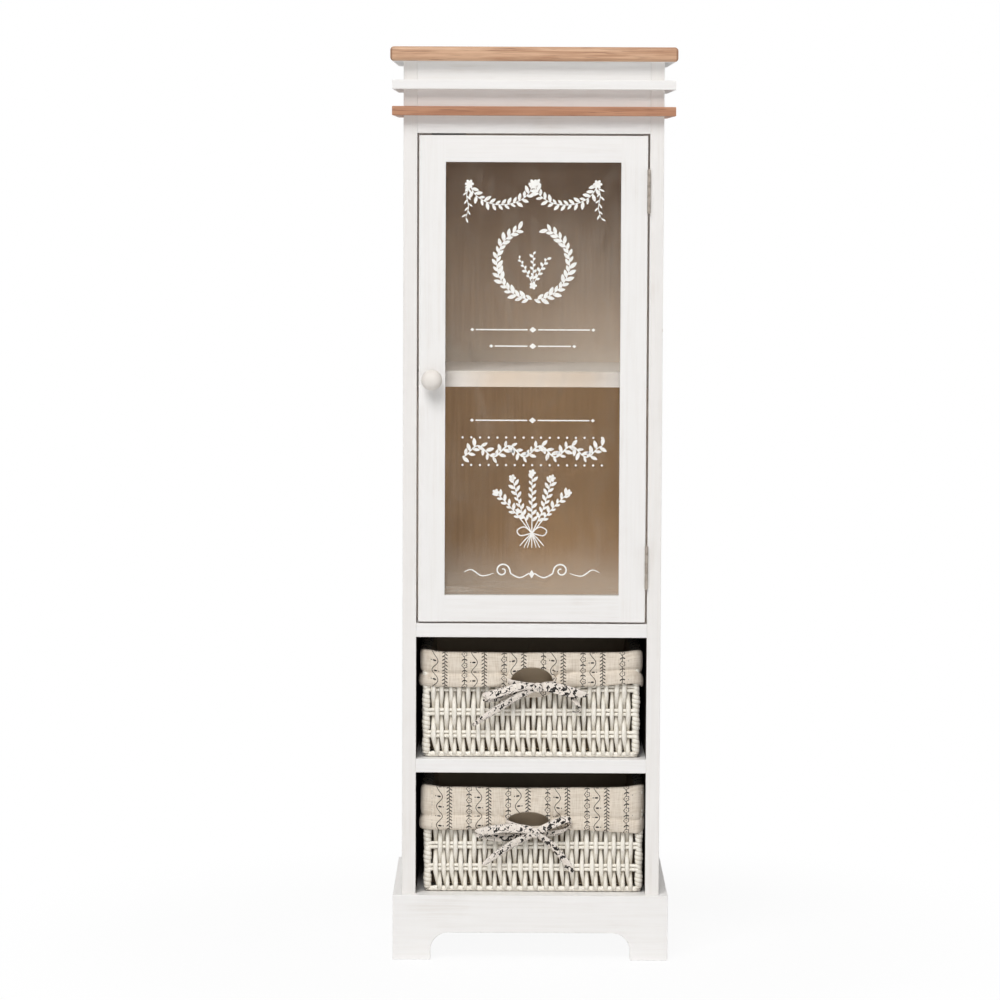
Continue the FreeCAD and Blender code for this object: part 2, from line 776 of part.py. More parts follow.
doc.recompute()
failed = [item.Name for item in doc.Objects if {"Invalid", "Error"} & set(item.State)]
failed += [item.Label for item in nodes if item.Shape.isNull() or not item.Shape.isValid()]
if failed:
    raise RuntimeError(f"these did not build: {failed}")

os.makedirs("parts", exist_ok=True)
for item in nodes:
    item.Shape.exportStep(f"parts/{item.Label}.step")
print(len(nodes), "nodes,", sum(len(item.Shape.Solids) for item in nodes), "solids")
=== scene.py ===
import json
import math

import bmesh
import bpy
from mathutils import Matrix, Vector, noise


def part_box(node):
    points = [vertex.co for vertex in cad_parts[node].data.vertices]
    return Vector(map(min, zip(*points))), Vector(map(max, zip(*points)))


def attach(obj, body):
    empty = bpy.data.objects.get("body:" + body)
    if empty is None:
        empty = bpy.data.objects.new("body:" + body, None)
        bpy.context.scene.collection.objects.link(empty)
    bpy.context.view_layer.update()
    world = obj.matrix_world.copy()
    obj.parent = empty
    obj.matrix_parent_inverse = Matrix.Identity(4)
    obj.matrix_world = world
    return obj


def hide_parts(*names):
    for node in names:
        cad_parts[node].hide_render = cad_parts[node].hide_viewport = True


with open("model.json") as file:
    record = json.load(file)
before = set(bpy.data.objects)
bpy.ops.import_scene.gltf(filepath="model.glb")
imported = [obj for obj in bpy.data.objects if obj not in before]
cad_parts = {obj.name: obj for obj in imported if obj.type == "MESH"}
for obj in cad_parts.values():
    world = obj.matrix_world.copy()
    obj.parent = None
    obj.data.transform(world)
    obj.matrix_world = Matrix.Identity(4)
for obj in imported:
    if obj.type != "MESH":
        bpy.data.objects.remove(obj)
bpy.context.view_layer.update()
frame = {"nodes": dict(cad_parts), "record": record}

# White painted display cabinet with a printed glass door over two bays with lined wicker baskets.
# Sizes in the dictionaries are millimetres unless they say otherwise.

mm = 0.001
cadNodes = frame["nodes"]
scene = bpy.context.scene
scene.view_settings.view_transform = "Standard"


def tint(red, green, blue):  # screen colour, 0 to 255, as the linear colour that a shader takes
    def linear(value):
        value /= 255
        return value / 12.92 if value <= 0.04045 else ((value + 0.055) / 1.055) ** 2.4

    return (linear(red), linear(green), linear(blue), 1.0)


class nodeValue:  # an output in a node tree, so that sums of outputs can be written as sums
    def __init__(self, tree, socket):
        self.tree, self.socket = tree, socket

    def __add__(self, other):
        return calc(self.tree, "ADD", self, other)

    def __radd__(self, other):
        return calc(self.tree, "ADD", other, self)

    def __sub__(self, other):
        return calc(self.tree, "SUBTRACT", self, other)

    def __rsub__(self, other):
        return calc(self.tree, "SUBTRACT", other, self)

    def __mul__(self, other):
        return calc(self.tree, "MULTIPLY", self, other)

    def __truediv__(self, other):
        return calc(self.tree, "DIVIDE", self, other)

    def __rtruediv__(self, other):
        return calc(self.tree, "DIVIDE", other, self)

    def __lt__(self, other):
        return calc(self.tree, "LESS_THAN", self, other)

    def __gt__(self, other):
        return calc(self.tree, "GREATER_THAN", self, other)

    def __abs__(self):
        return calc(self.tree, "ABSOLUTE", self)

    __rmul__ = __mul__


def byName(tree, outputs):
    return {socket.name: nodeValue(tree, socket) for socket in outputs}


def plug(tree, node, sockets):
    for key, value in sockets.items():
        if isinstance(value, nodeValue):
            value = value.socket
        if isinstance(value, bpy.types.NodeSocket):
            tree.links.new(value, node.inputs[key])
        else:
            node.inputs[key].default_value = value
    return node


def addNode(tree, kind, sockets=None, **settings):
    node = tree.nodes.new(kind)
    for key, value in settings.items():
        setattr(node, key, value)
    return plug(tree, node, sockets or {})


def calc(tree, operation, first, second=0.0):
    node = addNode(tree, "ShaderNodeMath", {0: first, 1: second}, operation=operation)
    return nodeValue(tree, node.outputs[0])


def axes(tree, vector):
    return [nodeValue(tree, socket) for socket in addNode(tree, "ShaderNodeSeparateXYZ", {0: vector}).outputs]


def together(tree, x=0.0, y=0.0, z=0.0):
    return addNode(tree, "ShaderNodeCombineXYZ", {0: x, 1: y, 2: z}).outputs[0]


def stored(tree, name):
    return nodeValue(tree, addNode(tree, "ShaderNodeAttribute", attribute_name=name).outputs["Fac"])


def mottle(tree, vector, scale, detail, roughness=0.5, distortion=0.0):
    sockets = {"Vector": vector, "Scale": scale, "Detail": detail, "Roughness": roughness, "Distortion": distortion}
    return nodeValue(tree, addNode(tree, "ShaderNodeTexNoise", sockets).outputs[0])


def vectorCalc(tree, operation, first, second=(0.0, 0.0, 0.0)):
    return addNode(tree, "ShaderNodeVectorMath", {0: first, 1: second}, operation=operation).outputs[0]


def rampTo(tree, value, low, high, start=0.0, end=1.0):  # smooth step between two limits
    sockets = {"Value": value, "From Min": low, "From Max": high, "To Min": start, "To Max": end}
    node = addNode(tree, "ShaderNodeMapRange", sockets, interpolation_type="SMOOTHSTEP")
    return nodeValue(tree, node.outputs[0])


def blendColour(tree, amount, first, second):
    return addNode(tree, "ShaderNodeMix", {0: amount, 6: first, 7: second}, data_type="RGBA").outputs[2]


def newGroup(name, kind, inputs, outputs):
    tree = bpy.data.node_groups.new(name, kind)
    for label, socketKind, value in inputs:
        socket = tree.interface.new_socket(label, in_out="INPUT", socket_type=socketKind)
        if value is not None:
            socket.default_value = value
    for label, socketKind in outputs:
        tree.interface.new_socket(label, in_out="OUTPUT", socket_type=socketKind)
    given = byName(tree, tree.nodes.new("NodeGroupInput").outputs)
    return tree, given, tree.nodes.new("NodeGroupOutput")


def placeGroup(tree, group, sockets):
    node = tree.nodes.new("ShaderNodeGroup")
    node.node_tree = group
    return byName(tree, plug(tree, node, sockets).outputs)


def newMaterial(name):
    material = bpy.data.materials.new(name)
    material.use_nodes = True
    tree = material.node_tree
    tree.nodes.clear()
    shader = tree.nodes.new("ShaderNodeBsdfPrincipled")
    output = tree.nodes.new("ShaderNodeOutputMaterial")
    tree.links.new(shader.outputs[0], output.inputs[0])
    return material, tree, shader


def objectPoint(tree):
    return tree.nodes.new("ShaderNodeTexCoord").outputs["Object"]


def bump(tree, height, strength, distance):
    sockets = {"Height": height, "Strength": strength, "Distance": distance * mm}
    return addNode(tree, "ShaderNodeBump", sockets).outputs[0]


def seenDirectly(tree):  # by the camera, in a reflection or through the glass
    light = tree.nodes.new("ShaderNodeLightPath").outputs
    bounced = calc(tree, "MAXIMUM", light["Is Glossy Ray"], light["Is Transmission Ray"])
    return calc(tree, "MAXIMUM", light["Is Camera Ray"], bounced)


# Geometry trees all take a shape and a finish, and end as real faces with that finish.


def newShapeTree(name, inputs):
    given = [("Geometry", "NodeSocketGeometry", None), *inputs, ("Finish", "NodeSocketMaterial", None)]
    return newGroup(name, "GeometryNodeTree", given, [("Geometry", "NodeSocketGeometry")])


def closeTree(tree, given, result, shape):
    real = addNode(tree, "GeometryNodeRealizeInstances", {0: shape}).outputs[0]
    done = addNode(tree, "GeometryNodeSetMaterial", {"Geometry": real, "Material": given["Finish"]})
    plug(tree, result, {0: done.outputs[0]})
    return tree


def scatter(tree, points, piece, **more):
    sockets = {"Points": points, "Instance": piece, **{key.capitalize(): value for key, value in more.items()}}
    return addNode(tree, "GeometryNodeInstanceOnPoints", sockets).outputs[0]


def pointRow(tree, count, start, step):
    sockets = {"Count": count, "Start Location": start, "Offset": step}
    return addNode(tree, "GeometryNodeMeshLine", sockets, mode="OFFSET").outputs[0]


def spacedLine(tree, given):
    line = addNode(tree, "GeometryNodeMeshToCurve", {"Mesh": given["Geometry"]}).outputs[0]
    sockets = {"Curve": line, "Length": given["Spacing"]}
    return addNode(tree, "GeometryNodeResampleCurve", sockets, mode="LENGTH").outputs[0]


def randomValue(tree, low, high, seed):
    if isinstance(low, tuple):
        sockets = {0: low, 1: high, "Seed": seed}
        return addNode(tree, "FunctionNodeRandomValue", sockets, data_type="FLOAT_VECTOR").outputs[0]
    sockets = {2: low, 3: high, "Seed": seed}
    return nodeValue(tree, addNode(tree, "FunctionNodeRandomValue", sockets, data_type="FLOAT").outputs[1])


def turnAbout(tree, axis, angle):
    return addNode(tree, "FunctionNodeAxisAngleToRotation", {"Axis": axis, "Angle": angle}).outputs[0]


def tube(tree, sides, segments, depth):  # of radius 1, to be shaped by the moves after it
    sockets = {"Vertices": sides, "Side Segments": segments, "Radius": 1.0, "Depth": depth}
    return addNode(tree, "GeometryNodeMeshCylinder", sockets, fill_type="NGON").outputs[0]


def moved(tree, shape, x, y, z):
    sockets = {"Geometry": shape, "Position": together(tree, x, y, z)}
    return addNode(tree, "GeometryNodeSetPosition", sockets).outputs[0]


# stores how far back a strand lies, for painted shade on the wicker
def markRecessShade(tree, shape, value):
    sockets = {"Geometry": shape, "Name": "recess", "Value": value}
    return addNode(tree, "GeometryNodeStoreNamedAttribute", sockets, data_type="FLOAT", domain="POINT").outputs[0]


def placeOf(tree):
    return axes(tree, tree.nodes.new("GeometryNodeInputPosition").outputs[0])


print("helpers ready")

# Shared effects: the grain of a board, broken wear along its edges and a woven ground.

floatSocket, vectorSocket = "NodeSocketFloat", "NodeSocketVector"


def makeWoodGrain():
    inputs = [("Vector", vectorSocket, None), ("Stretch", vectorSocket, (300.0, 300.0, 12.0))]
    outputs = [(label, floatSocket) for label in ("Streak", "Cloud", "Pore")]
    tree, given, result = newGroup("woodGrain", "ShaderNodeTree", inputs, outputs)
    stretched = vectorCalc(tree, "MULTIPLY", given["Vector"], given["Stretch"])
    fine = vectorCalc(tree, "MULTIPLY", stretched, (3.1, 3.1, 3.1))
    plug(tree, result, {
        "Streak": mottle(tree, stretched, 1.0, 4.0, 0.62, 0.5),
        "Cloud": mottle(tree, given["Vector"], 13.0, 3.0, 0.55),
        "Pore": rampTo(tree, mottle(tree, fine, 1.0, 2.0), 0.58, 0.72),
    })
    return tree


def makeEdgeWear():
    inputs = [("Vector", vectorSocket, None), ("Edge", floatSocket, 0.0), ("Amount", floatSocket, 0.5)]
    tree, given, result = newGroup("edgeWear", "ShaderNodeTree", inputs, [("Worn", floatSocket)])
    patch = mottle(tree, given["Vector"], 42.0, 4.0, 0.7)
    level = 0.78 - given["Amount"] * 0.3
    worn = rampTo(tree, patch, level, level + 0.06)
    plug(tree, result, {"Worn": worn * given["Edge"]})
    return tree


def makeClothWeave():
    inputs = [("UV", vectorSocket, None), ("Threads", floatSocket, 1500.0)]
    outputs = [("Height", floatSocket), ("Slub", floatSocket)]
    tree, given, result = newGroup("clothWeave", "ShaderNodeTree", inputs, outputs)
    parts = axes(tree, given["UV"])
    warp, weft = (calc(tree, "SINE", part * (given["Threads"] * math.tau)) for part in parts[:2])
    slub = 0.0
    for stretch in ((700.0, 60.0, 1.0), (60.0, 700.0, 1.0)):
        slub += mottle(tree, vectorCalc(tree, "MULTIPLY", given["UV"], stretch), 1.0, 2.0) * 0.5
    plug(tree, result, {"Height": warp * weft * 0.5 + slub, "Slub": slub})
    return tree


woodGrain, edgeWear, clothWeave = makeWoodGrain(), makeEdgeWear(), makeClothWeave()

# Finishes of the boards. The grain runs along one axis of the cabinet.

grainRuns = {"X": (9.0, 260.0, 260.0), "Y": (260.0, 9.0, 260.0), "Z": (260.0, 260.0, 9.0)}

paintFinish = {
    "paint": tint(240, 238, 236),
    "shade": tint(217, 210, 202),
    "stain": tint(196, 182, 165),
    "wood": tint(168, 132, 100),
    "shelf": tint(243, 236, 228),
    "rubbed": tint(236, 218, 198),
    "side": tint(237, 234, 231),
    "knob": tint(234, 228, 221),
    "roughness": 0.48,
    "wear": 0.34,
}

liningStainAndPaintedLight = {
    "brown": tint(203, 163, 119),
    "dark": tint(168, 128, 88),
    # painted shade for the insides of the bays and the gap over the door
    "bay": tint(54, 44, 36),
    "paintedShade": tint(132, 104, 82),
    "glow": tint(226, 206, 184),
    "paintedLight": tint(226, 184, 134),
    "sideReach": 134.3,  # inner faces of the side panels lie just inside this
    "bayTop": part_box("display_floor")[0].z / mm + 0.3,
    "frontSkin": -114.6,
    "paintedShadeRise": 50.0,  # heights over the shelf and the display floor
    "cornerRise": (40.0, 150.0),
    "paintedLightSpan": (-50.0, 100.0),
    "cornerSpan": (0.0, 100.0),
    "glowRises": (75.0, 25.0),
    "floorGlow": 60.0,
}


def paintedWood(name, run, shadeMask=None, paint=paintFinish["paint"], rubbed=None):
    material, tree, shader = newMaterial(name)
    point = objectPoint(tree)
    grain = placeGroup(tree, woodGrain, {"Vector": point, "Stretch": grainRuns[run]})
    streak = rampTo(tree, grain["Streak"], 0.38, 0.72)
    coat = blendColour(tree, streak * 0.15, paint, paintFinish["shade"])
    cloud = rampTo(tree, grain["Cloud"], 0.52, 0.8) * (0.12 + streak)
    coat = blendColour(tree, cloud * 0.24, coat, paintFinish["stain"])
    if rubbed:
        coat = blendColour(tree, rubbed(tree, point) * grain["Cloud"], coat, paintFinish["rubbed"])
    edge = stored(tree, "edgeWear")
    worn = placeGroup(tree, edgeWear, {"Vector": point, "Edge": edge, "Amount": paintFinish["wear"]})["Worn"]
    colour = blendColour(tree, worn, coat, paintFinish["wood"])
    height = streak * 0.5 - worn * 1.2
    # painted shade where the mask asks for it: in the bays and in the gap over the door
    if shadeMask:
        colour = blendColour(tree, shadeMask(tree, point), colour, liningStainAndPaintedLight["bay"])
    rough = paintFinish["roughness"] + grain["Cloud"] * 0.14
    plug(tree, shader, {
        "Base Color": colour, "Roughness": rough, "Normal": bump(tree, height, 0.35, 0.25), "Specular IOR Level": 0.4,
    })
    return material


rubbedPatch = {"centre": 6.0, "inner": 45.0, "outer": 100.0, "strength": 1.7, "skin": 0.6}


def shelfMiddle(tree, point):  # the shelf's front edge is rubbed through in the middle
    x, y = axes(tree, point)[:2]
    aside = abs(x - rubbedPatch["centre"] * mm)
    middle = rampTo(tree, aside, rubbedPatch["inner"] * mm, rubbedPatch["outer"] * mm, rubbedPatch["strength"], 0.0)
    return middle * (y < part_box("display_shelf")[0].y + rubbedPatch["skin"] * mm)


def liningColour(tree, grain):
    streak = rampTo(tree, grain["Streak"], 0.35, 0.7)
    brown = blendColour(tree, streak * 0.6, liningStainAndPaintedLight["brown"], liningStainAndPaintedLight["dark"])
    return blendColour(tree, grain["Cloud"] * 0.3, brown, liningStainAndPaintedLight["dark"])


def bayShadeSides(tree, point):  # painted shade on the side panels' inner faces inside the bays
    x, y, z = axes(tree, point)
    inner = abs(x) < liningStainAndPaintedLight["sideReach"] * mm
    behind = y > liningStainAndPaintedLight["frontSkin"] * mm
    return inner * behind * (z < liningStainAndPaintedLight["bayTop"] * mm)


def undersideShade(levels, reach=0.3):  # painted shade on the undersides of the boards over the bays and over the door
    def mask(tree, point):
        y, z = axes(tree, point)[1:]
        low = 0.0
        for level in levels:
            near = abs(z - level)
            low += near < reach * mm
        return low * (y > liningStainAndPaintedLight["frontSkin"] * mm)

    return mask


def stainedLiningWithPaintedLight(name):
    # the back panel's brown stain, with painted light and painted shade over its front face
    material, tree, shader = newMaterial(name)
    point = objectPoint(tree)
    grain = placeGroup(tree, woodGrain, {"Vector": point, "Stretch": grainRuns["Z"]})
    height = grain["Streak"] * 0.5
    x, y, z = axes(tree, point)
    shelf, floor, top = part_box("display_shelf")[1].z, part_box("display_floor")[1].z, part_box("door_top_rail")[0].z
    upper = z > shelf
    # painted light: the back of the lower compartment is lit more towards the right
    left, right = (edge * mm for edge in liningStainAndPaintedLight["paintedLightSpan"])
    paintedLight = rampTo(tree, x, left, right, 0.3, 0.75)
    board = liningColour(tree, grain)
    colour = blendColour(tree, paintedLight * (1.0 - upper), board, liningStainAndPaintedLight["paintedLight"])
    # painted shade: darker towards the top of the upper compartment
    paintedShade = rampTo(tree, z, shelf + liningStainAndPaintedLight["paintedShadeRise"] * mm, top, 0.0, 0.8)
    colour = blendColour(tree, paintedShade, colour, liningStainAndPaintedLight["paintedShade"])
    # painted shade in the lower right corner, just over the display floor
    cornerLow, cornerHigh = (floor + rise * mm for rise in liningStainAndPaintedLight["cornerRise"])
    left, right = (edge * mm for edge in liningStainAndPaintedLight["cornerSpan"])
    corner = rampTo(tree, x, left, right) * rampTo(tree, z, cornerLow, cornerHigh, 0.42, 0.0)
    colour = blendColour(tree, corner, colour, liningStainAndPaintedLight["paintedShade"])
    # painted light close over the display floor and the shelf, fading upwards
    lit = rampTo(tree, z, floor, floor + liningStainAndPaintedLight["floorGlow"] * mm, 0.27, 0.0)
    for rise in liningStainAndPaintedLight["glowRises"]:
        lit += upper * rampTo(tree, z, shelf, shelf + rise * mm, 0.45, 0.0)
    colour = blendColour(tree, lit, colour, liningStainAndPaintedLight["glow"])
    # painted shade in the bays
    colour = blendColour(tree, z < liningStainAndPaintedLight["bayTop"] * mm, colour, liningStainAndPaintedLight["bay"])
    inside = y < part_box("back_panel")[0].y + 0.5 * mm
    colour = blendColour(tree, inside, board, colour)
    plug(tree, shader, {
        "Base Color": colour, "Roughness": 0.5 + grain["Cloud"] * 0.2,
        "Normal": bump(tree, height, 0.3, 0.2),
    })
    return material


naturalFinish = {
    "pale": tint(213, 173, 141), "deep": tint(172, 127, 96), "line": tint(124, 84, 59),
    "underside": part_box("top_board")[0].z / mm + 0.4, "ends": 162.8,
}
brownFinish = {"pale": tint(184, 134, 103), "deep": tint(162, 110, 80), "line": tint(130, 82, 56)}


def bareWood(name, run, finish):
    material, tree, shader = newMaterial(name)
    point = objectPoint(tree)
    grain = placeGroup(tree, woodGrain, {"Vector": point, "Stretch": grainRuns[run]})
    streak = rampTo(tree, grain["Streak"], 0.34, 0.7)
    colour = blendColour(tree, streak, finish["pale"], finish["deep"])
    colour = blendColour(tree, grain["Pore"] * 0.8, colour, finish["line"])
    colour = blendColour(tree, rampTo(tree, grain["Cloud"], 0.45, 0.75) * 0.35, colour, finish["pale"])
    if "underside" in finish:
        x, z = axes(tree, point)[::2]
        below = z < finish["underside"] * mm
        colour = blendColour(tree, below, colour, paintFinish["paint"])
        end = abs(x) > finish["ends"] * mm
        colour = blendColour(tree, end * 0.7, colour, finish["line"])
    height = streak * 0.4 - grain["Pore"]
    rough = 0.42 + grain["Streak"] * 0.2
    plug(tree, shader, {"Base Color": colour, "Roughness": rough, "Normal": bump(tree, height, 0.35, 0.25)})
    return material


whiteUpright = paintedWood("white_paint_upright", "Z")
whiteLevel = paintedWood("white_paint_level", "X")
whiteDeep = paintedWood("white_paint_deep", "Y")
# the under, side and over-bay finishes carry painted shade in the bays and in the gap over the door
whiteUnder = paintedWood("white_paint_under_painted_shade", "X", undersideShade([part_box("frieze_board")[0].z], 0.7))
creamShelf = paintedWood("cream_paint_shelf", "X", None, paintFinish["shelf"], shelfMiddle)
creamKnob = paintedWood("cream_paint_knob", "Z", None, paintFinish["knob"])
whiteSide = paintedWood("white_paint_side_painted_shade", "Z", bayShadeSides, paintFinish["side"])
bayCeilings = [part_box(name)[0].z for name in ("display_floor", "basket_divider")]
whiteOverBay = paintedWood("white_paint_over_bay", "X", undersideShade(bayCeilings))
brownBack = stainedLiningWithPaintedLight("brown_stain_and_painted_light_back")
naturalTop = bareWood("natural_wood_top", "X", naturalFinish)
naturalBlock = bareWood("natural_wood_block", "Z", brownFinish)
brownLevel = bareWood("brown_wood_level", "X", brownFinish)
brownDeep = bareWood("brown_wood_deep", "Y", brownFinish)


steelFinish = {"bright": tint(166, 157, 147), "dull": tint(118, 109, 100), "brushed": (2600.0, 2600.0, 160.0)}


def makeSteel():
    material, tree, shader = newMaterial("hinge_steel_worn")
    point = objectPoint(tree)
    brushed = vectorCalc(tree, "MULTIPLY", point, steelFinish["brushed"])
    fine = mottle(tree, brushed, 1.0, 2.0)
    blotch = mottle(tree, point, 120.0, 4.0)
    colour = blendColour(tree, rampTo(tree, blotch, 0.42, 0.7), steelFinish["bright"], steelFinish["dull"])
    rough = 0.3 + fine * 0.2
    normal = bump(tree, fine, 0.15, 0.05)
    plug(tree, shader, {"Base Color": colour, "Metallic": 1.0, "Roughness": rough, "Normal": normal})
    return material


def makePlastic():
    material, tree, shader = newMaterial("catch_plastic_moulded")
    speck = mottle(tree, objectPoint(tree), 1400.0, 2.0)
    colour = blendColour(tree, speck, tint(226, 223, 217), tint(216, 212, 205))
    rough = 0.42 + speck * 0.15
    plug(tree, shader, {"Base Color": colour, "Roughness": rough, "Normal": bump(tree, speck, 0.1, 0.05)})
    return material


glassFinish = {  # shares of the film, and how high the painted light and the dried streaks rise from the bottom rail
    "film": tint(206, 194, 178), "clear": 0.02, "smear": 0.04, "haze": 0.09, "side": 0.11, "bottomLight": 0.2,
    "bottomLightRise": 70.0, "streaks": 0.2, "streakRise": 35.0, "wiped": (46.0, 1.0, 15.0), "drawn": (16.0, 1.0, 240.0),
    "sideSpan": (-60.0, 100.0), "shelfBlur": 3.0,
}


def makeGlass():
    # clear float glass with a dusty film; a paler film, thickest at the shelf, fades upwards and grows towards the
    # right stile, and painted light from the lit display floor rises from the bottom rail
    material, tree, shader = newMaterial("door_glass_pane")
    point = objectPoint(tree)
    x, z = axes(tree, point)[::2]
    wiped = vectorCalc(tree, "MULTIPLY", point, glassFinish["wiped"])
    smear = mottle(tree, wiped, 1.0, 4.0, distortion=0.8)
    low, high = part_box("door_bottom_rail")[1].z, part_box("door_top_rail")[0].z
    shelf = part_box("display_shelf")[1].z
    left, right = (edge * mm for edge in glassFinish["sideSpan"])
    blur = glassFinish["shelfBlur"] * mm
    overShelf = rampTo(tree, z, shelf - blur, shelf + blur)
    upper = overShelf * rampTo(tree, z, shelf, high, 1.0, 0.0)
    side = glassFinish["haze"] + rampTo(tree, x, left, right, 0.0, glassFinish["side"])
    alpha = glassFinish["clear"] + rampTo(tree, smear, 0.4, 0.75, 0.0, glassFinish["smear"])
    alpha += upper * side
    # painted light from the lit display floor, over the bottom rail
    alpha += rampTo(tree, z, low, low + glassFinish["bottomLightRise"] * mm, glassFinish["bottomLight"], 0.0)
    drawn = vectorCalc(tree, "MULTIPLY", point, glassFinish["drawn"])
    dried = mottle(tree, drawn, 1.0, 3.0, distortion=0.6)
    foot = rampTo(tree, z, low, low + glassFinish["streakRise"] * mm, glassFinish["streaks"], 0.0)
    alpha += rampTo(tree, dried, 0.42, 0.8) * foot
    plug(tree, shader, {"Base Color": glassFinish["film"], "Roughness": 0.08, "Alpha": alpha, "IOR": 1.5})
    return material


def makeInk():
    material, tree, shader = newMaterial("white_print_ink")
    patchy = mottle(tree, objectPoint(tree), 260.0, 3.0)
    colour = blendColour(tree, rampTo(tree, patchy, 0.5, 0.8), tint(246, 244, 239), tint(226, 220, 211))
    plug(tree, shader, {"Base Color": colour, "Roughness": 0.5 + patchy * 0.2})
    return material


steel, plastic, glass, ink = makeSteel(), makePlastic(), makeGlass(), makeInk()

wickerFinish = {
    "paint": tint(250, 245, 235), "shade": tint(236, 229, 214), "bare": tint(204, 190, 164),
    "recess": tint(190, 180, 160), "fibre": (900.0, 900.0, 110.0),
}


def makeWicker():
    material, tree, shader = newMaterial("white_painted_wicker")
    point = objectPoint(tree)
    fibre = mottle(tree, vectorCalc(tree, "MULTIPLY", point, wickerFinish["fibre"]), 1.0, 3.0)
    patchy = mottle(tree, point, 95.0, 4.0, 0.65)
    colour = blendColour(tree, rampTo(tree, fibre, 0.36, 0.72), wickerFinish["paint"], wickerFinish["shade"])
    colour = blendColour(tree, rampTo(tree, patchy, 0.62, 0.78) * 0.5, colour, wickerFinish["bare"])
    # painted shade on strands that lie back and in the grooves between the wraps of the posts
    recess = stored(tree, "recess")
    colour = blendColour(tree, rampTo(tree, recess, 0.2, 1.0) * 0.7, colour, wickerFinish["recess"])
    rough = 0.36 + patchy * 0.2
    plug(tree, shader, {"Base Color": colour, "Roughness": rough, "Normal": bump(tree, fibre, 0.3, 0.2)})
    return material


linerFinish = {
    "ground": tint(229, 218, 203), "shade": tint(211, 197, 179), "ink": tint(38, 33, 32), "threads": 900.0,
    "bag": tint(224, 204, 178), "deep": tint(122, 106, 88), "column": 11.5, "line": 0.42, "leaflets": 4.2,
    "wave": 24.0, "sway": 3.4, "blossoms": 13.5,
}
bowFinish = {
    "ground": tint(238, 229, 220), "shade": tint(220, 209, 197), "ink": tint(26, 23, 23), "threads": 900.0,
    "blots": 205.0,
}


def clothGround(name, finish):
    material, tree, shader = newMaterial(name)
    across = tree.nodes.new("ShaderNodeUVMap")
    across.uv_map = "cloth"
    uv = across.outputs[0]
    weave = placeGroup(tree, clothWeave, {"UV": uv, "Threads": finish["threads"]})
    colour = blendColour(tree, rampTo(tree, weave["Slub"], 0.4, 0.66), finish["ground"], finish["shade"])
    plug(tree, shader, {
        "Roughness": 0.78 + weave["Slub"] * 0.14,
        "Normal": bump(tree, weave["Height"], 0.3, 0.22), "Sheen Weight": 0.05, "Specular IOR Level": 0.2,
    })
    return material, tree, shader, uv, weave["Slub"], colour


def inkOver(tree, shader, marks, slub, colour, finish):  # the print is thinner where the threads stand up
    faded = marks * (0.86 + slub * 0.22)
    plug(tree, shader, {"Base Color": blendColour(tree, faded, colour, finish["ink"])})


def botanicalPrint(tree, uv):
    # columns of slanted leaflets, of a budding tendril and of outlined blossoms on a stem, and then a bare one
    x, y = axes(tree, uv)[:2]
    wide, line = linerFinish["column"] * mm, linerFinish["line"] * mm
    number = calc(tree, "FLOOR", x / wide)
    aside = x - (number + 0.5) * wide
    away = abs(aside)

    def beats(length, offset=0.0):  # distance along the cloth from the middle of a repeat
        turn = calc(tree, "FRACT", y / length + offset)
        return (turn - 0.5) * length

    def oval(across, along, wideRadius, longRadius):
        u, v = across / (wideRadius * mm), along / (longRadius * mm)
        return u * u + v * v < 1.0

    def column(kind, *marks):
        chosen = abs(calc(tree, "MODULO", number, 4.0) - kind) < 0.5
        ink = marks[0]
        for mark in marks[1:]:
            ink = calc(tree, "MAXIMUM", ink, mark)
        return chosen * ink

    step = linerFinish["leaflets"] * mm
    climb = y / step - away * (0.6 / step) + (aside > 0.0) * 0.5
    beat = abs(calc(tree, "FRACT", climb) - 0.5)
    plump = (3.6 * mm - away) * (away * 62000.0)
    sprig = column(0.0, away < line, beat < plump)

    wave, sway = linerFinish["wave"] * mm, linerFinish["sway"] * mm
    turn = y * (math.tau / wave)
    slope = calc(tree, "COSINE", turn) * (sway * math.tau / wave)
    steep = calc(tree, "SQRT", 1.0 + slope * slope)
    fromStem = abs(aside - calc(tree, "SINE", turn) * sway)
    stem = fromStem / steep < line
    side = calc(tree, "SIGN", calc(tree, "SINE", turn))
    crest = beats(wave / 2)
    bud = oval(aside + side * (0.6 * mm), crest, 2.2, 1.0)
    berry = oval(aside + side * (4.4 * mm), crest, 0.7, 0.7)
    tendril = column(1.0, stem, bud, berry)

    length = linerFinish["blossoms"] * mm
    offset = number * 0.37
    along = beats(length, offset)
    reach = calc(tree, "SQRT", aside * aside + along * along)
    petals = abs(calc(tree, "COSINE", calc(tree, "ARCTAN2", along, aside) * 2.5))
    rim = 2.1 * mm + petals * (1.1 * mm)
    outline = abs(reach - rim) < line
    heart = reach < 0.65 * mm
    between = beats(length, offset + 0.5)
    stalk = (away < line) * (reach > rim)
    leaves = []
    for lean in (-1, 1):
        beside = aside - lean * 1.7 * mm
        across = beside * 0.82 + between * (0.57 * lean)
        leaves.append(oval(across, between * 0.82 - beside * (0.57 * lean), 1.8, 0.75))
    blossom = column(2.0, outline, heart, stalk, *leaves)
    return sprig + tendril + blossom


def makeLinerCloth():
    material, tree, shader, uv, slub, colour = clothGround("liner_cloth_printed", linerFinish)
    marks = botanicalPrint(tree, uv) * stored(tree, "inked")
    colour = blendColour(tree, stored(tree, "printed"), linerFinish["bag"], colour)
    colour = blendColour(tree, stored(tree, "shaded"), colour, linerFinish["deep"])
    inkOver(tree, shader, marks, slub, colour, linerFinish)
    return material


def makeBowCloth():
    material, tree, shader, uv, slub, colour = clothGround("bow_cloth_printed", bowFinish)
    blot = mottle(tree, uv, bowFinish["blots"], 1.5, 0.45, 0.9)
    inkOver(tree, shader, rampTo(tree, blot, 0.555, 0.57), slub, colour, bowFinish)
    return material


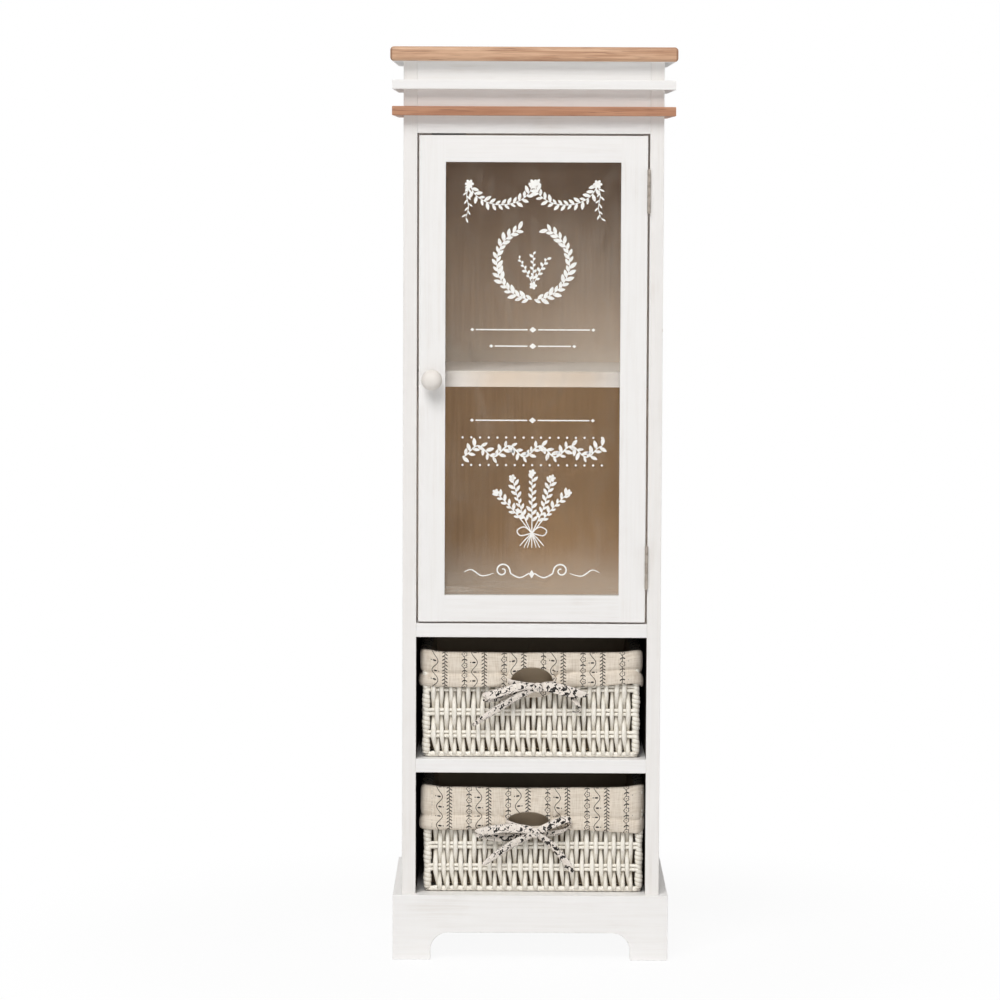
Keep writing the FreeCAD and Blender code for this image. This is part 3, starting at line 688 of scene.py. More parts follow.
wicker, linerCloth, bowCloth = makeWicker(), makeLinerCloth(), makeBowCloth()


def makeThread():
    material, tree, shader = newMaterial("sewing_thread")
    twist = mottle(tree, objectPoint(tree), 900.0, 2.0)
    colour = blendColour(tree, twist, tint(206, 193, 174), tint(184, 168, 146))
    plug(tree, shader, {"Base Color": colour, "Roughness": 0.8})
    return material


thread = makeThread()
print("materials ready")

# Making meshes and placing them on their bodies.


def meshObject(name, points, faces, material, smooth=True):
    mesh = bpy.data.meshes.new(name)
    mesh.from_pydata([tuple(point) for point in points], [], faces)
    mesh.validate()
    return finishObject(name, mesh, material, smooth)


def finishObject(name, mesh, material, smooth=True):
    mesh.materials.clear()
    mesh.materials.append(material)
    mesh.polygons.foreach_set("use_smooth", [smooth] * len(mesh.polygons))
    mesh.name = name
    piece = bpy.data.objects.new(name, mesh)
    scene.collection.objects.link(piece)
    return piece


def bakeTree(name, source, tree, values, material, smooth=True):
    # runs a geometry tree on a helper object and keeps the result as a plain mesh
    modifier = source.modifiers.new(name, "NODES")
    modifier.node_group = tree
    for item in tree.interface.items_tree:
        if item.item_type == "SOCKET" and item.in_out == "INPUT" and item.name in values:
            modifier[item.identifier] = values[item.name]
    depsgraph = bpy.context.evaluated_depsgraph_get()
    mesh = bpy.data.meshes.new_from_object(source.evaluated_get(depsgraph))
    source.modifiers.remove(modifier)
    return finishObject(name, mesh, material, smooth)


def dropObject(piece):
    mesh = piece.data
    bpy.data.objects.remove(piece)
    bpy.data.meshes.remove(mesh)


def joinPieces(name, pieces):
    joined = bmesh.new()
    for piece in pieces:
        joined.from_mesh(piece.data)
    mesh = bpy.data.meshes.new(name)
    joined.to_mesh(mesh)
    joined.free()
    material = pieces[0].data.materials[0]
    for piece in pieces:
        dropObject(piece)
    return finishObject(name, mesh, material, True)


def applyModifiers(piece):
    depsgraph = bpy.context.evaluated_depsgraph_get()
    mesh = bpy.data.meshes.new_from_object(piece.evaluated_get(depsgraph))
    piece.modifiers.clear()
    old = piece.data
    piece.data = mesh
    bpy.data.meshes.remove(old)
    return piece


def mount(piece, body, slot, *replaced):
    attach(piece, body)
    if replaced:
        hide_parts(*replaced)
    return piece


def lineObject(name, points, edges):
    mesh = bpy.data.meshes.new(name)
    mesh.from_pydata(points, edges, [])
    piece = bpy.data.objects.new(name, mesh)
    scene.collection.objects.link(piece)
    return piece


def ringFaces(rings, sides, capped=False):  # faces between rings of points, one after another
    faces = []
    for ring in range(rings - 1):
        for side in range(sides):
            here, after = ring * sides + side, ring * sides + (side + 1) % sides
            faces.append((here, after, after + sides, here + sides))
    if capped:
        faces += [tuple(reversed(range(sides))), tuple((rings - 1) * sides + side for side in range(sides))]
    return faces


def gridFaces(columns, rows, first=0):  # faces between columns of points, the points of each in a row
    faces = []
    for column in range(columns - 1):
        for row in range(rows - 1):
            corner = first + column * rows + row
            faces.append((corner, corner + rows, corner + rows + 1, corner + 1))
    return faces


def clothMesh(name, points, faces, uvs):
    mesh = bpy.data.meshes.new(name)
    mesh.from_pydata(points, [], faces)
    layer = mesh.uv_layers.new(name="cloth")
    for loop in mesh.loops:
        layer.data[loop.index].uv = uvs[loop.vertex_index]
    return mesh


def thicken(piece, thickness):
    modifier = piece.modifiers.new("thickness", "SOLIDIFY")
    modifier.thickness, modifier.offset = thickness * mm, 0.0


def soften(piece):
    modifier = piece.modifiers.new("soften", "SUBSURF")
    modifier.levels = modifier.render_levels = 1


# Boards with eased edges. Edges that meet another board in a flush joint stay sharp.

easing = {"radius": 0.7, "segments": 2, "sharpest": 40.0, "outer": 131.0}

boards = [
    ("left_side_panel", "carcass", whiteSide, "Z"), ("right_side_panel", "carcass", whiteSide, "Z"),
    ("frieze_board", "carcass", whiteUnder, "X"), ("ceiling_panel", "carcass", whiteLevel, "X"),
    ("display_floor", "carcass", whiteOverBay, "X"), ("basket_divider", "carcass", whiteOverBay, "X"),
    ("bottom_panel", "carcass", whiteLevel, "X"), ("display_shelf", "carcass", creamShelf, "X"),
    ("upper_crown_front", "carcass", whiteLevel, "X"), ("upper_crown_left", "carcass", whiteDeep, "Y"),
    ("upper_crown_right", "carcass", whiteDeep, "Y"), ("lower_crown_front", "carcass", brownLevel, "X"),
    ("lower_crown_left", "carcass", brownDeep, "Y"), ("lower_crown_right", "carcass", brownDeep, "Y"),
    ("plinth_front", "carcass", whiteLevel, "all"), ("plinth_left", "carcass", whiteDeep, "all"),
    ("plinth_right", "carcass", whiteDeep, "all"), ("door_knob_stile", "door", whiteUpright, "Z"),
    ("door_hinge_stile", "door", whiteUpright, "Z"), ("door_top_rail", "door", whiteLevel, "X"),
    ("door_bottom_rail", "door", whiteLevel, "X"),
]


def easeBoard(name, body, material, run):
    shape = bmesh.new()
    shape.from_mesh(cadNodes[name].data)
    worn = shape.faces.layers.float.new("edgeWear")
    bmesh.ops.remove_doubles(shape, verts=shape.verts, dist=1e-6)
    bmesh.ops.dissolve_limit(shape, angle_limit=math.radians(0.5), verts=shape.verts, edges=shape.edges)
    axis = Vector({"X": (1, 0, 0), "Y": (0, 1, 0), "Z": (0, 0, 1), "all": (0, 0, 0)}[run])
    eased = []
    for edge in shape.edges:
        if len(edge.link_faces) != 2 or edge.calc_face_angle_signed() < math.radians(easing["sharpest"]):
            continue
        along = (edge.verts[1].co - edge.verts[0].co).normalized()
        outer = run != "Z" or abs(edge.verts[0].co.x) > easing["outer"] * mm
        if outer and (run == "all" or abs(along.dot(axis)) > 0.9):
            eased.append(edge)
    made = bmesh.ops.bevel(
        shape, geom=eased, offset=easing["radius"] * mm, segments=easing["segments"], profile=0.5, affect="EDGES",
        clamp_overlap=True,
    )
    for face in made["faces"]:
        face[worn] = 1.0
    mesh = bpy.data.meshes.new(name)
    shape.to_mesh(mesh)
    shape.free()
    piece = finishObject(f"{name}_eased", mesh, material, False)
    slot = next(part["material_slot"] for part in frame["record"]["subparts"] if part["node"] == name)
    return mount(piece, body, slot, name)


for board in boards:
    easeBoard(*board)

keptNodes = {
    "top_board": naturalTop, "plinth_corner_blocks": naturalBlock, "back_panel": brownBack,
    "glazing_beads": whiteUpright, "door_glass": glass, "knob_screw": steel, "strike_plate": steel,
    "magnetic_catch": plastic, "upper_basket_base": wicker, "lower_basket_base": wicker,
}
for level in ("upper", "lower"):
    for part in ("frame_leaf", "door_leaf", "pin"):
        keptNodes[f"{level}_hinge_{part}"] = steel
for name, material in keptNodes.items():
    cadNodes[name].data.materials.clear()
    cadNodes[name].data.materials.append(material)
print("boards ready:", len(boards))

# Turned knob on the left stile.

knob = {"steps": 56}
knobProfile = [  # radius and distance from the stile
    (2.1, 0.0), (6.9, 0.0), (7.2, 0.5), (6.6, 1.6), (6.3, 3.2), (6.5, 4.8), (7.2, 6.2), (8.7, 7.4), (10.4, 8.7),
    (11.5, 10.3), (12.0, 12.4), (11.9, 14.6), (11.3, 17.0), (10.1, 19.3), (8.4, 21.3), (6.2, 22.8), (3.4, 23.7),
    (0.0, 24.0),
]


def turnKnob():
    points, steps = [], knob["steps"]
    low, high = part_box("door_knob")
    across, level, face = (low.x + high.x) / 2, (low.z + high.z) / 2, high.y
    for radius, ahead in knobProfile[:-1]:
        for step in range(steps):
            turn = math.tau * step / steps
            points.append((
                across + radius * math.cos(turn) * mm,
                face - ahead * mm,
                level + radius * math.sin(turn) * mm,
            ))
    points.append((across, face - knobProfile[-1][1] * mm, level))
    rings, tip = len(knobProfile) - 1, len(points) - 1
    faces = ringFaces(rings, steps)
    for step in range(steps):
        faces.append(((rings - 1) * steps + step, (rings - 1) * steps + (step + 1) % steps, tip))
    return mount(meshObject("knob_turned", points, faces, creamKnob), "door", "white_paint", "door_knob")


turnKnob()

# Slotted screws in the hinge leaves.

screwRow = {
    "heads": 3, "headRadius": 2.1, "proud": 0.12, "slotWidth": 0.5, "sunk": 0.3, "arcSteps": 8, "inset": 8.0,
    "setBack": 5.85, "leafLength": 50.0, "frame_leaf": 133.0, "door_leaf": 132.6,  # where the faces of the leaves lie
}


def makeScrewTree():
    tree, given, result = newShapeTree("screwRowTree", [
        ("Heads", "NodeSocketInt", 3), ("Spacing", floatSocket, 0.017), ("Start", vectorSocket, None),
        ("Turn", "NodeSocketRotation", None), ("Head", "NodeSocketObject", None),
    ])
    row = pointRow(tree, given["Heads"], given["Start"], together(tree, z=given["Spacing"]))
    head = addNode(tree, "GeometryNodeObjectInfo", {"Object": given["Head"]}).outputs["Geometry"]
    slotTurn = turnAbout(tree, (0.0, 0.0, 1.0), randomValue(tree, 0.0, math.pi, 4))
    sockets = {0: given["Turn"], 1: slotTurn}
    turned = addNode(tree, "FunctionNodeRotateRotation", sockets, rotation_space="LOCAL").outputs[0]
    return closeTree(tree, given, result, scatter(tree, row, head, rotation=turned))


def screwHead():
    # a low dome with a straight slot, its axis along +Z
    radius, proud, slot = screwRow["headRadius"], screwRow["proud"], screwRow["slotWidth"] / 2
    points, faces, steps = [], [], screwRow["arcSteps"]
    width = steps + 1
    for side in (-1, 1):
        first = len(points)
        limit = math.acos(slot / radius)
        arc = [side * (math.pi / 2) + (index / steps - 0.5) * 2 * limit for index in range(width)]
        for height, scale in ((-screwRow["sunk"], 1.0), (0.0, 1.0), (proud, 0.8)):
            for turn in arc:
                flat = max(abs(radius * scale * math.sin(turn)), slot) * side
                points.append((radius * scale * math.cos(turn) * mm, flat * mm, height * mm))
        for ring in range(2):
            start = first + ring * width
            for corner in range(start, start + steps):
                faces.append((corner, corner + 1, corner + width + 1, corner + width))
            faces.append((start + steps, start, start + width, start + width + steps))
        faces.append(tuple(first + 2 * width + index for index in range(width)))
        faces.append(tuple(first + index for index in reversed(range(width))))
    return meshObject("screw_head", points, faces, steel, False)


def driveScrews():
    tree, head = makeScrewTree(), screwHead()
    holder = meshObject("screw_holder", [(0, 0, 0)], [], steel)
    spacing = (screwRow["leafLength"] - 2 * screwRow["inset"]) / (screwRow["heads"] - 1)
    for level in ("upper", "lower"):
        for leaf, body, sign in (("frame_leaf", "carcass", -1), ("door_leaf", "door", 1)):
            low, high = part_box(f"{level}_hinge_{leaf}")
            start = (screwRow[leaf] * mm, high.y - screwRow["setBack"] * mm, low.z + screwRow["inset"] * mm)
            values = {
                "Heads": screwRow["heads"], "Spacing": spacing * mm, "Start": start,
                "Turn": (0.0, sign * math.pi / 2, 0.0), "Head": head, "Finish": steel,
            }
            screws = bakeTree(f"{level}_{leaf}_screws", holder, tree, values, steel, False)
            mount(screws, body, "hinge_steel")
    dropObject(head)
    dropObject(holder)


driveScrews()
print("knob and screws ready")

# White print on the glass: a leafy swag, a laurel wreath, rules, a running vine, a tied posy and a scroll.

printArt = {"centre": -0.1, "ahead": 0.06, "skin": 0.04, "layer": 0.006, "wreath": ((0, 812), 42, 42)}
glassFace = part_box("door_glass")[0].y / mm


def smoothPath(points, steps):  # points of a smooth line through the given ones
    path = []
    padded = [points[0]] + list(points) + [points[-1]]
    for index in range(1, len(padded) - 2):
        before, start, end, after = (Vector(p) for p in padded[index - 1:index + 3])
        for step in range(steps):
            t = step / steps
            path.append(0.5 * (
                2 * start + (end - before) * t + (2 * before - 5 * start + 4 * end - after) * t * t
                + (3 * start - before - 3 * end + after) * t ** 3
            ))
    path.append(Vector(points[-1]))
    return path


inkLayers = [0]  # parts of the print that cross lie in thin layers of their own


def flatPoint(point):
    ahead = printArt["ahead"] + printArt["layer"] * (inkLayers[0] % 12)
    return ((printArt["centre"] + point[0]) * mm, (glassFace - ahead) * mm, point[1] * mm)


def inkStroke(path, width, taper=0.0):
    # a flat line of ink along a path in the plane of the glass, thinner at its ends when tapered
    points, faces = [], []
    last = len(path) - 1
    inkLayers[0] += 1
    for index, point in enumerate(path):
        ahead = path[min(index + 1, last)] - path[max(index - 1, 0)]
        normal = Vector((-ahead[1], ahead[0])).normalized()
        share = index / last
        half = width / 2 * (1 - taper * (2 * share - 1) ** 2)
        points += [flatPoint(Vector(point[:2]) + normal * half), flatPoint(Vector(point[:2]) - normal * half)]
    for index in range(last):
        faces.append((2 * index, 2 * index + 1, 2 * index + 3, 2 * index + 2))
    return meshObject("ink_stroke", points, faces, ink, False)


def inkShape(outline):
    inkLayers[0] += 1
    points = [flatPoint(point) for point in outline]
    return meshObject("ink_shape", points, [tuple(range(len(points)))], ink, False)


def inkDisc(centre, radius, sides=12):
    turns = [math.tau * index / sides for index in range(sides)]
    return inkShape([(centre[0] + radius * math.cos(t), centre[1] + radius * math.sin(t)) for t in turns])


def inkBerries(path, radius):
    return joinPieces("ink_berries", [inkDisc(point, radius) for point in path])


def inkDiamond(centre, wide, high):
    x, z = centre
    return inkShape([(x - wide, z), (x, z - high), (x + wide, z), (x, z + high)])


def inkBloom(centre, radius, petals):
    outline = []
    for index in range(petals * 8):
        turn = math.tau * index / (petals * 8)
        reach = radius * (0.62 + 0.38 * abs(math.cos(turn * petals / 2)))
        outline.append((centre[0] + reach * math.cos(turn), centre[1] + reach * math.sin(turn)))
    return inkShape(outline)


def makeLeafTree():
    tree, given, result = newShapeTree("leafSprayTree", [
        ("Spacing", floatSocket, 0.005), ("Spread", floatSocket, 0.8), ("Size", floatSocket, 1.0),
        ("Leaf", "NodeSocketObject", None), ("Seed", "NodeSocketInt", 1),
    ])
    along = axes(tree, tree.nodes.new("GeometryNodeInputTangent").outputs[0])
    heading = calc(tree, "ARCTAN2", along[2], along[0])
    number = tree.nodes.new("GeometryNodeInputIndex").outputs[0]
    side = calc(tree, "MODULO", number, 2.0) * 2.0 - 1.0
    jitter = randomValue(tree, 0.8, 1.2, given["Seed"])
    lean = side * given["Spread"] * jitter
    turned = turnAbout(tree, (0.0, 1.0, 0.0), (heading + lean) * -1.0)
    leaf = addNode(tree, "GeometryNodeObjectInfo", {"Object": given["Leaf"]}).outputs["Geometry"]
    size = given["Size"] * jitter
    evenly = together(tree, size, size, size)
    leaves = scatter(tree, spacedLine(tree, given), leaf, rotation=turned, scale=evenly)
    return closeTree(tree, given, result, leaves)


def leafShape(length, width):
    # a pointed flat leaf from its stalk at the origin along +X, in the plane of the glass
    outline = []
    for index in range(7):
        share = index / 6
        outline.append((length * share, width / 2 * math.sin(math.pi * share) ** 0.8))
    lower = [(x, -z) for x, z in reversed(outline[1:-1])]
    points = [(x * mm, 0.0, z * mm) for x, z in outline + lower]
    return meshObject("ink_leaf", points, [tuple(range(len(points)))], ink, False)


def leafySpray(path, tree, leaf, spacing, spread, size, seed):
    inkLayers[0] += 1
    edges = [(index, index + 1) for index in range(len(path) - 1)]
    holder = lineObject("spray_stem", [flatPoint(point) for point in path], edges)
    values = {"Spacing": spacing * mm, "Spread": spread, "Size": size, "Leaf": leaf, "Finish": ink, "Seed": seed}
    spray = bakeTree("ink_spray", holder, tree, values, ink, False)
    dropObject(holder)
    return spray


def mirrored(path):
    return [Vector((-point[0], point[1])) for point in path]


def arcPath(centre, wide, high, start, end, steps):
    path = []
    for index in range(steps + 1):
        turn = math.radians(start + (end - start) * index / steps)
        path.append(Vector((centre[0] + wide * math.cos(turn), centre[1] + high * math.sin(turn))))
    return path


def scrollPath(centre, radius, turns, heading, side):
    path = []
    steps = int(26 * turns)
    for index in range(steps + 1):
        share = index / steps
        turn = heading + side * math.tau * turns * share
        reach = radius * (1 - 0.82 * share)
        path.append(Vector((centre[0] + reach * math.cos(turn), centre[1] + reach * math.sin(turn))))
    return path


def drawPrint():
    tree = makeLeafTree()
    broad, slim, bud = leafShape(8.5, 3.6), leafShape(8.0, 2.4), leafShape(5.0, 2.8)
    parts = []

    def both(path, draw, *more):
        parts.append(draw(path, *more))
        parts.append(draw(mirrored(path), *more))

    # swag hung from three blooms under the top rail
    swag = arcPath((-37, 905), 36, 26, 188, 352, 26)
    both(swag, inkStroke, 1.1, 0.3)
    both(swag, leafySpray, tree, broad, 3.4, 0.85, 1.0, 3)
    tassel = smoothPath([(-74, 902), (-77, 890), (-75, 876), (-78, 864)], 8)
    both(tassel, inkStroke, 1.0, 0.5)
    both(tassel, leafySpray, tree, slim, 4.2, 0.7, 0.8, 5)
    for x, z, radius in ((-74, 903, 5.4), (0, 903, 6.0), (74, 903, 5.4)):
        parts.append(inkBloom((x, z), radius, 6))

    # laurel wreath, open at the top
    laurel = arcPath(*printArt["wreath"], -88, 66, 40)
    both(laurel, inkStroke, 1.2, 0.4)
    both(laurel, leafySpray, tree, broad, 3.6, 0.62, 1.15, 8)
    both(arcPath(*printArt["wreath"], -70, 50, 12)[::3], inkBerries, 1.5)
    for turn in range(3):
        heading = math.radians(90 + (turn - 1) * 36)
        tip = (math.cos(heading) * 27, 795 + math.sin(heading) * 27)
        sprig = smoothPath([(0, 786), (tip[0] * 0.45, (786 + tip[1]) * 0.5), tip], 8)
        parts.append(inkStroke(sprig, 1.0, 0.4))
        parts.append(leafySpray(sprig[4:], tree, bud, 3.2, 0.75, 1.0, 11 + turn))
    parts.append(inkBloom((0, 786), 4.6, 5))

    # rules with diamonds above and below the shelf
    for level, half in ((735, 66), (716, 44), (630, 66)):
        both([Vector((x, level)) for x in (6, half * 0.6, half)], inkStroke, 1.5)
        parts.append(inkDiamond((0, level), 4.2, 3.4))
        for side in (1, -1):
            parts.append(inkDiamond((side * (half + 4), level), 2.4, 2.0))

    # running vine between beads
    vine = [Vector((x, 594 + 6.5 * math.sin(math.tau * x / 36))) for x in range(-81, 82, 3)]
    parts.append(inkStroke(vine, 1.8, 0.3))
    parts.append(leafySpray(vine, tree, broad, 3.7, 0.95, 1.1, 20))
    for index in range(-8, 9):
        for level in (578, 610):
            parts.append(inkDisc((index * 10.1, level), 1.3))

    # tied posy
    for tip, bend in (((-42, 546), -14), ((-23, 563), -8), ((0, 569), 0), ((23, 563), 8), ((42, 546), 14)):
        stem = smoothPath([(tip[0] * -0.22, 482), (0, 498), (tip[0] * 0.45 + bend * 0.3, 527), tip], 9)
        parts.append(inkStroke(stem, 1.2, 0.3))
        parts.append(leafySpray(stem[14:26], tree, broad, 3.6, 0.7, 0.95, 40 + bend))
        parts.append(inkBloom(tip, 4.4, 5))
    both(smoothPath([(0, 500), (9, 506), (17, 502), (13, 496), (0, 499)], 8), inkStroke, 1.3)
    both(smoothPath([(0, 499), (8, 491), (14, 484)], 8), inkStroke, 1.3, 0.4)

    # scroll over the bottom rail
    curl = scrollPath((34, 455), 9, 1.35, math.pi * 1.1, -1)
    both(smoothPath([(3, 452), (14, 447), (25, 452)], 8)[:-1] + curl[1:], inkStroke, 1.8, 0.25)
    both(smoothPath([(44, 452), (58, 449), (70, 456), (79, 453)], 8), inkStroke, 1.5, 0.7)
    parts.append(inkDiamond((0, 451), 3.2, 5.0))
    for leaf in (broad, slim, bud):
        dropObject(leaf)
    art = joinPieces("glass_print", parts)
    art.data.polygons.foreach_set("use_smooth", [False] * len(art.data.polygons))
    thicken(art, printArt["skin"])
    mount(applyModifiers(art), "door", "white_paint")


drawPrint()
print("print ready")

# Wicker walls: two families of uprights woven round pairs of rods, between a twisted foot and a twisted rim.

basketPlan = {
    "postRadius": 4.5, "pairsWide": 21, "pairsDeep": 19, "postClear": 7.0,
    "rodStep": 26.0, "topStep": 28.3, "rodRadius": 2.1, "rodGap": 2.3, "rodWrap": 2.0,
    "swing": 3.2, "uprightWidth": 5.6, "uprightDepth": 3.0, "footSlant": 2.2,
    "footRadius": 2.2, "footThrow": 1.1, "rimRadius": 2.3, "rimThrow": 2.0, "twist": 21.0, "ropeBend": 3.0,
    "handleHalf": 27.0, "rimLow": 112.3, "uprightFoot": 3.2, "uprightTop": 6.0, "rimFade": 14.0,
    "stray": 0.5, "uprightMesh": (6, 18), "strandMesh": (8, 96), "postMesh": (20, 150),
}
strandSizes = (  # sizes that every wall takes from the plan
    "Rod Step", "Top Step", "Rod Radius", "Rod Gap", "Rod Wrap", "Swing", "Upright Width", "Upright Depth",
    "Upright Foot", "Upright Top", "Foot Slant", "Foot Radius", "Foot Throw", "Rim Radius", "Rim Throw", "Rim Low",
    "Rim Fade", "Twist", "Rope Bend",
)
wallSizes = ("Length", "Half", "Height", "First Rod", "Handle Half", "Handle Sill")


def strandSize(label):
    return basketPlan[label[0].lower() + label[1:].replace(" ", "")] * mm



def basketFrame(name):  # the centre lines of the walls, from the solid posts
    low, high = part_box(f"{name}_corner_posts")
    radius = basketPlan["postRadius"]
    return {
        "floor": low.z / mm, "height": (high.z - low.z) / mm, "shift": (low.x + high.x) / 2 / mm,
        "halfWide": (high.x - low.x) / 2 / mm - radius, "near": low.y / mm + radius, "far": high.y / mm - radius,
    }


baskets = {  # spread: how far the weave leans out on the right
    "upper_basket": {**basketFrame("upper_basket"), "sill": 85.0, "seed": 3, "firstRod": 26.7, "spread": 0.0},
    "lower_basket": {**basketFrame("lower_basket"), "sill": 74.0, "seed": 9, "firstRod": 28.4, "spread": 2.5},
}
for plan in baskets.values():
    plan["halfWide"] += plan["spread"] / 2
    plan["shift"] += plan["spread"] / 2


def makeWallTree():
    tree, given, result = newShapeTree("wickerWallTree", [
        ("Pairs", "NodeSocketInt", 21), ("Seed", "NodeSocketInt", 1),
        *((label, floatSocket, 0.1) for label in wallSizes),
        *((label, floatSocket, strandSize(label)) for label in strandSizes),
    ])
    parts = placeOf(tree)
    made = []

    # uprights in two families: each passes before one pair of rods and behind the next, and narrows as it goes back
    foot = given["Upright Foot"]
    depth = given["Height"] - given["Upright Top"] - foot
    blank = tube(tree, *basketPlan["uprightMesh"], depth)
    height = parts[2] + foot + depth / 2.0
    above = height - given["First Rod"]
    higher = calc(tree, "MAXIMUM", above - given["Rod Step"], 0.0)
    lower = calc(tree, "MINIMUM", above, given["Rod Step"])
    phase = lower / given["Rod Step"] + higher / given["Top Step"]
    beat = calc(tree, "FRACT", phase * 0.5)
    ahead = abs(beat * 2.0 - 1.0) * 2.0 - 1.0
    fade = rampTo(tree, height, given["Rim Low"], given["Rim Low"] - given["Rim Fade"])
    lowest = rampTo(tree, height, given["First Rod"], foot)
    for family, sign in ((0, 1.0), (1, -1.0)):
        front = ahead * sign
        swing = calc(tree, "COSINE", phase * math.pi) * given["Swing"] * fade * -sign
        swell = 0.91 + front * 0.14
        if family == 0:  # these slant and narrow at the foot
            swell -= lowest * 0.22
        wide = parts[0] * given["Upright Width"] * swell * 0.5
        if family == 0:
            wide += lowest * given["Foot Slant"]
        deep = parts[1] * given["Upright Depth"] * 0.5 + swing
        shade = markRecessShade(tree, blank, 0.5 - front * 0.5)
        upright = moved(tree, shade, wide, deep, height)
        start = (0.5 + family) / given["Pairs"] - 1.0
        step = 2.0 / given["Pairs"]
        row = pointRow(tree, given["Pairs"], together(tree, start), together(tree, step))
        seed = given["Seed"] + float(family * 7)
        stray = randomValue(tree, -basketPlan["stray"] * mm, basketPlan["stray"] * mm, seed + 5.0)
        # closer together near the posts
        crowd = parts[0] * 1.1 - parts[0] * parts[0] * parts[0] * 0.1
        row = moved(tree, row, crowd * given["Length"] * 0.5 + stray, 0.0, 0.0)
        lean = randomValue(tree, (0.0, -0.012, -0.1), (0.0, 0.012, 0.1), seed)
        stretch = randomValue(tree, (0.9, 0.95, 1.0), (1.1, 1.05, 1.0), seed + 3.0)
        made.append(scatter(tree, row, upright, rotation=lean, scale=stretch))

    def bar(bend, bulge, cut, across, back, level):
        # a long strand that turns half of each corner; bulge brings it out round the post
        straight = given["Half"] - cut
        length = (straight + bend * (math.pi / 4)) * 2.0
        shape = tube(tree, *basketPlan["strandMesh"], length)
        past = abs(parts[2]) - straight
        turn = calc(tree, "MAXIMUM", past, 0.0) / bend
        side = calc(tree, "SIGN", parts[2])
        sine, cosine = calc(tree, "SINE", turn), calc(tree, "COSINE", turn)
        along = calc(tree, "MINIMUM", abs(parts[2]), straight) + bend * sine
        outward = bulge * rampTo(tree, past, -9 * mm, -1 * mm)
        inward = bend * (1.0 - cosine) - outward
        x = side * (along - sine * back)
        y = inward + cosine * back
        made.append(moved(tree, shape, x, y, level + across))

    # rods in pairs, wrapped round the posts
    second = given["First Rod"] + given["Rod Step"]
    across, back = (parts[axis] * given["Rod Radius"] for axis in (0, 1))
    for level in (given["First Rod"], second, second + given["Top Step"]):
        for side in (-1.0, 1.0):
            height = level + given["Rod Gap"] * side
            bar(given["Rod Wrap"], given["Rod Wrap"], 0.0, across, back, height)

    # three strands twisted together along the foot and along the rim
    for radius, throw, level in (
        ("Foot Radius", "Foot Throw", given["Foot Radius"] + given["Foot Throw"]),
        ("Rim Radius", "Rim Throw", given["Height"] - (given["Rim Radius"] + given["Rim Throw"])),
    ):
        for strand in range(3):
            turn = parts[2] / given["Twist"] * math.tau + strand * math.tau / 3
            across, back = (
                calc(tree, wave, turn) * given[throw] + parts[axis] * given[radius]
                for axis, wave in enumerate(("SINE", "COSINE"))
            )
            bar(given["Rope Bend"], 0.0, given["Rope Bend"], across, back, level)

    joined = tree.nodes.new("GeometryNodeJoinGeometry")
    for shape in reversed(made):
        tree.links.new(shape, joined.inputs[0])
    real = addNode(tree, "GeometryNodeRealizeInstances", {0: joined.outputs[0]}).outputs[0]

    # finger hole: nothing crosses it between its sill and the rim
    hole = (parts[2] > given["Handle Sill"]) * (parts[2] < given["Rim Low"]) * (abs(parts[0]) < given["Handle Half"])
    sockets = {"Geometry": real, "Selection": hole}
    opened = addNode(tree, "GeometryNodeDeleteGeometry", sockets, domain="POINT").outputs[0]
    return closeTree(tree, given, result, opened)


def makePostTree():
    tree, given, result = newShapeTree("wrappedPostTree", [
        ("Height", floatSocket, 0.1173), ("Radius", floatSocket, 0.0037), ("Ridge", floatSocket, 0.0008),
        ("Pitch", floatSocket, 0.0052), ("Tier", floatSocket, 0.026), ("First", floatSocket, 0.0267),
        ("Lift", floatSocket, 0.0045),
    ])
    parts = placeOf(tree)
    rise = parts[2] + given["Lift"] + given["Height"] / 2.0
    wind = calc(tree, "ARCTAN2", parts[1], parts[0]) / math.tau
    turn = (rise / given["Pitch"] + wind) * math.pi
    cane = calc(tree, "POWER", abs(calc(tree, "SINE", turn)), 0.55)
    phase = (rise - given["First"]) / given["Tier"]
    swell = calc(tree, "COSINE", phase * math.tau) * -0.0005
    reach = given["Radius"] + swell + cane * given["Ridge"]
    blank = tube(tree, *basketPlan["postMesh"], given["Height"])
    shade = markRecessShade(tree, blank, (1.0 - cane) * 1.3)
    wrapped = moved(tree, shade, parts[0] * reach, parts[1] * reach, rise)
    return closeTree(tree, given, result, scatter(tree, given["Geometry"], wrapped))


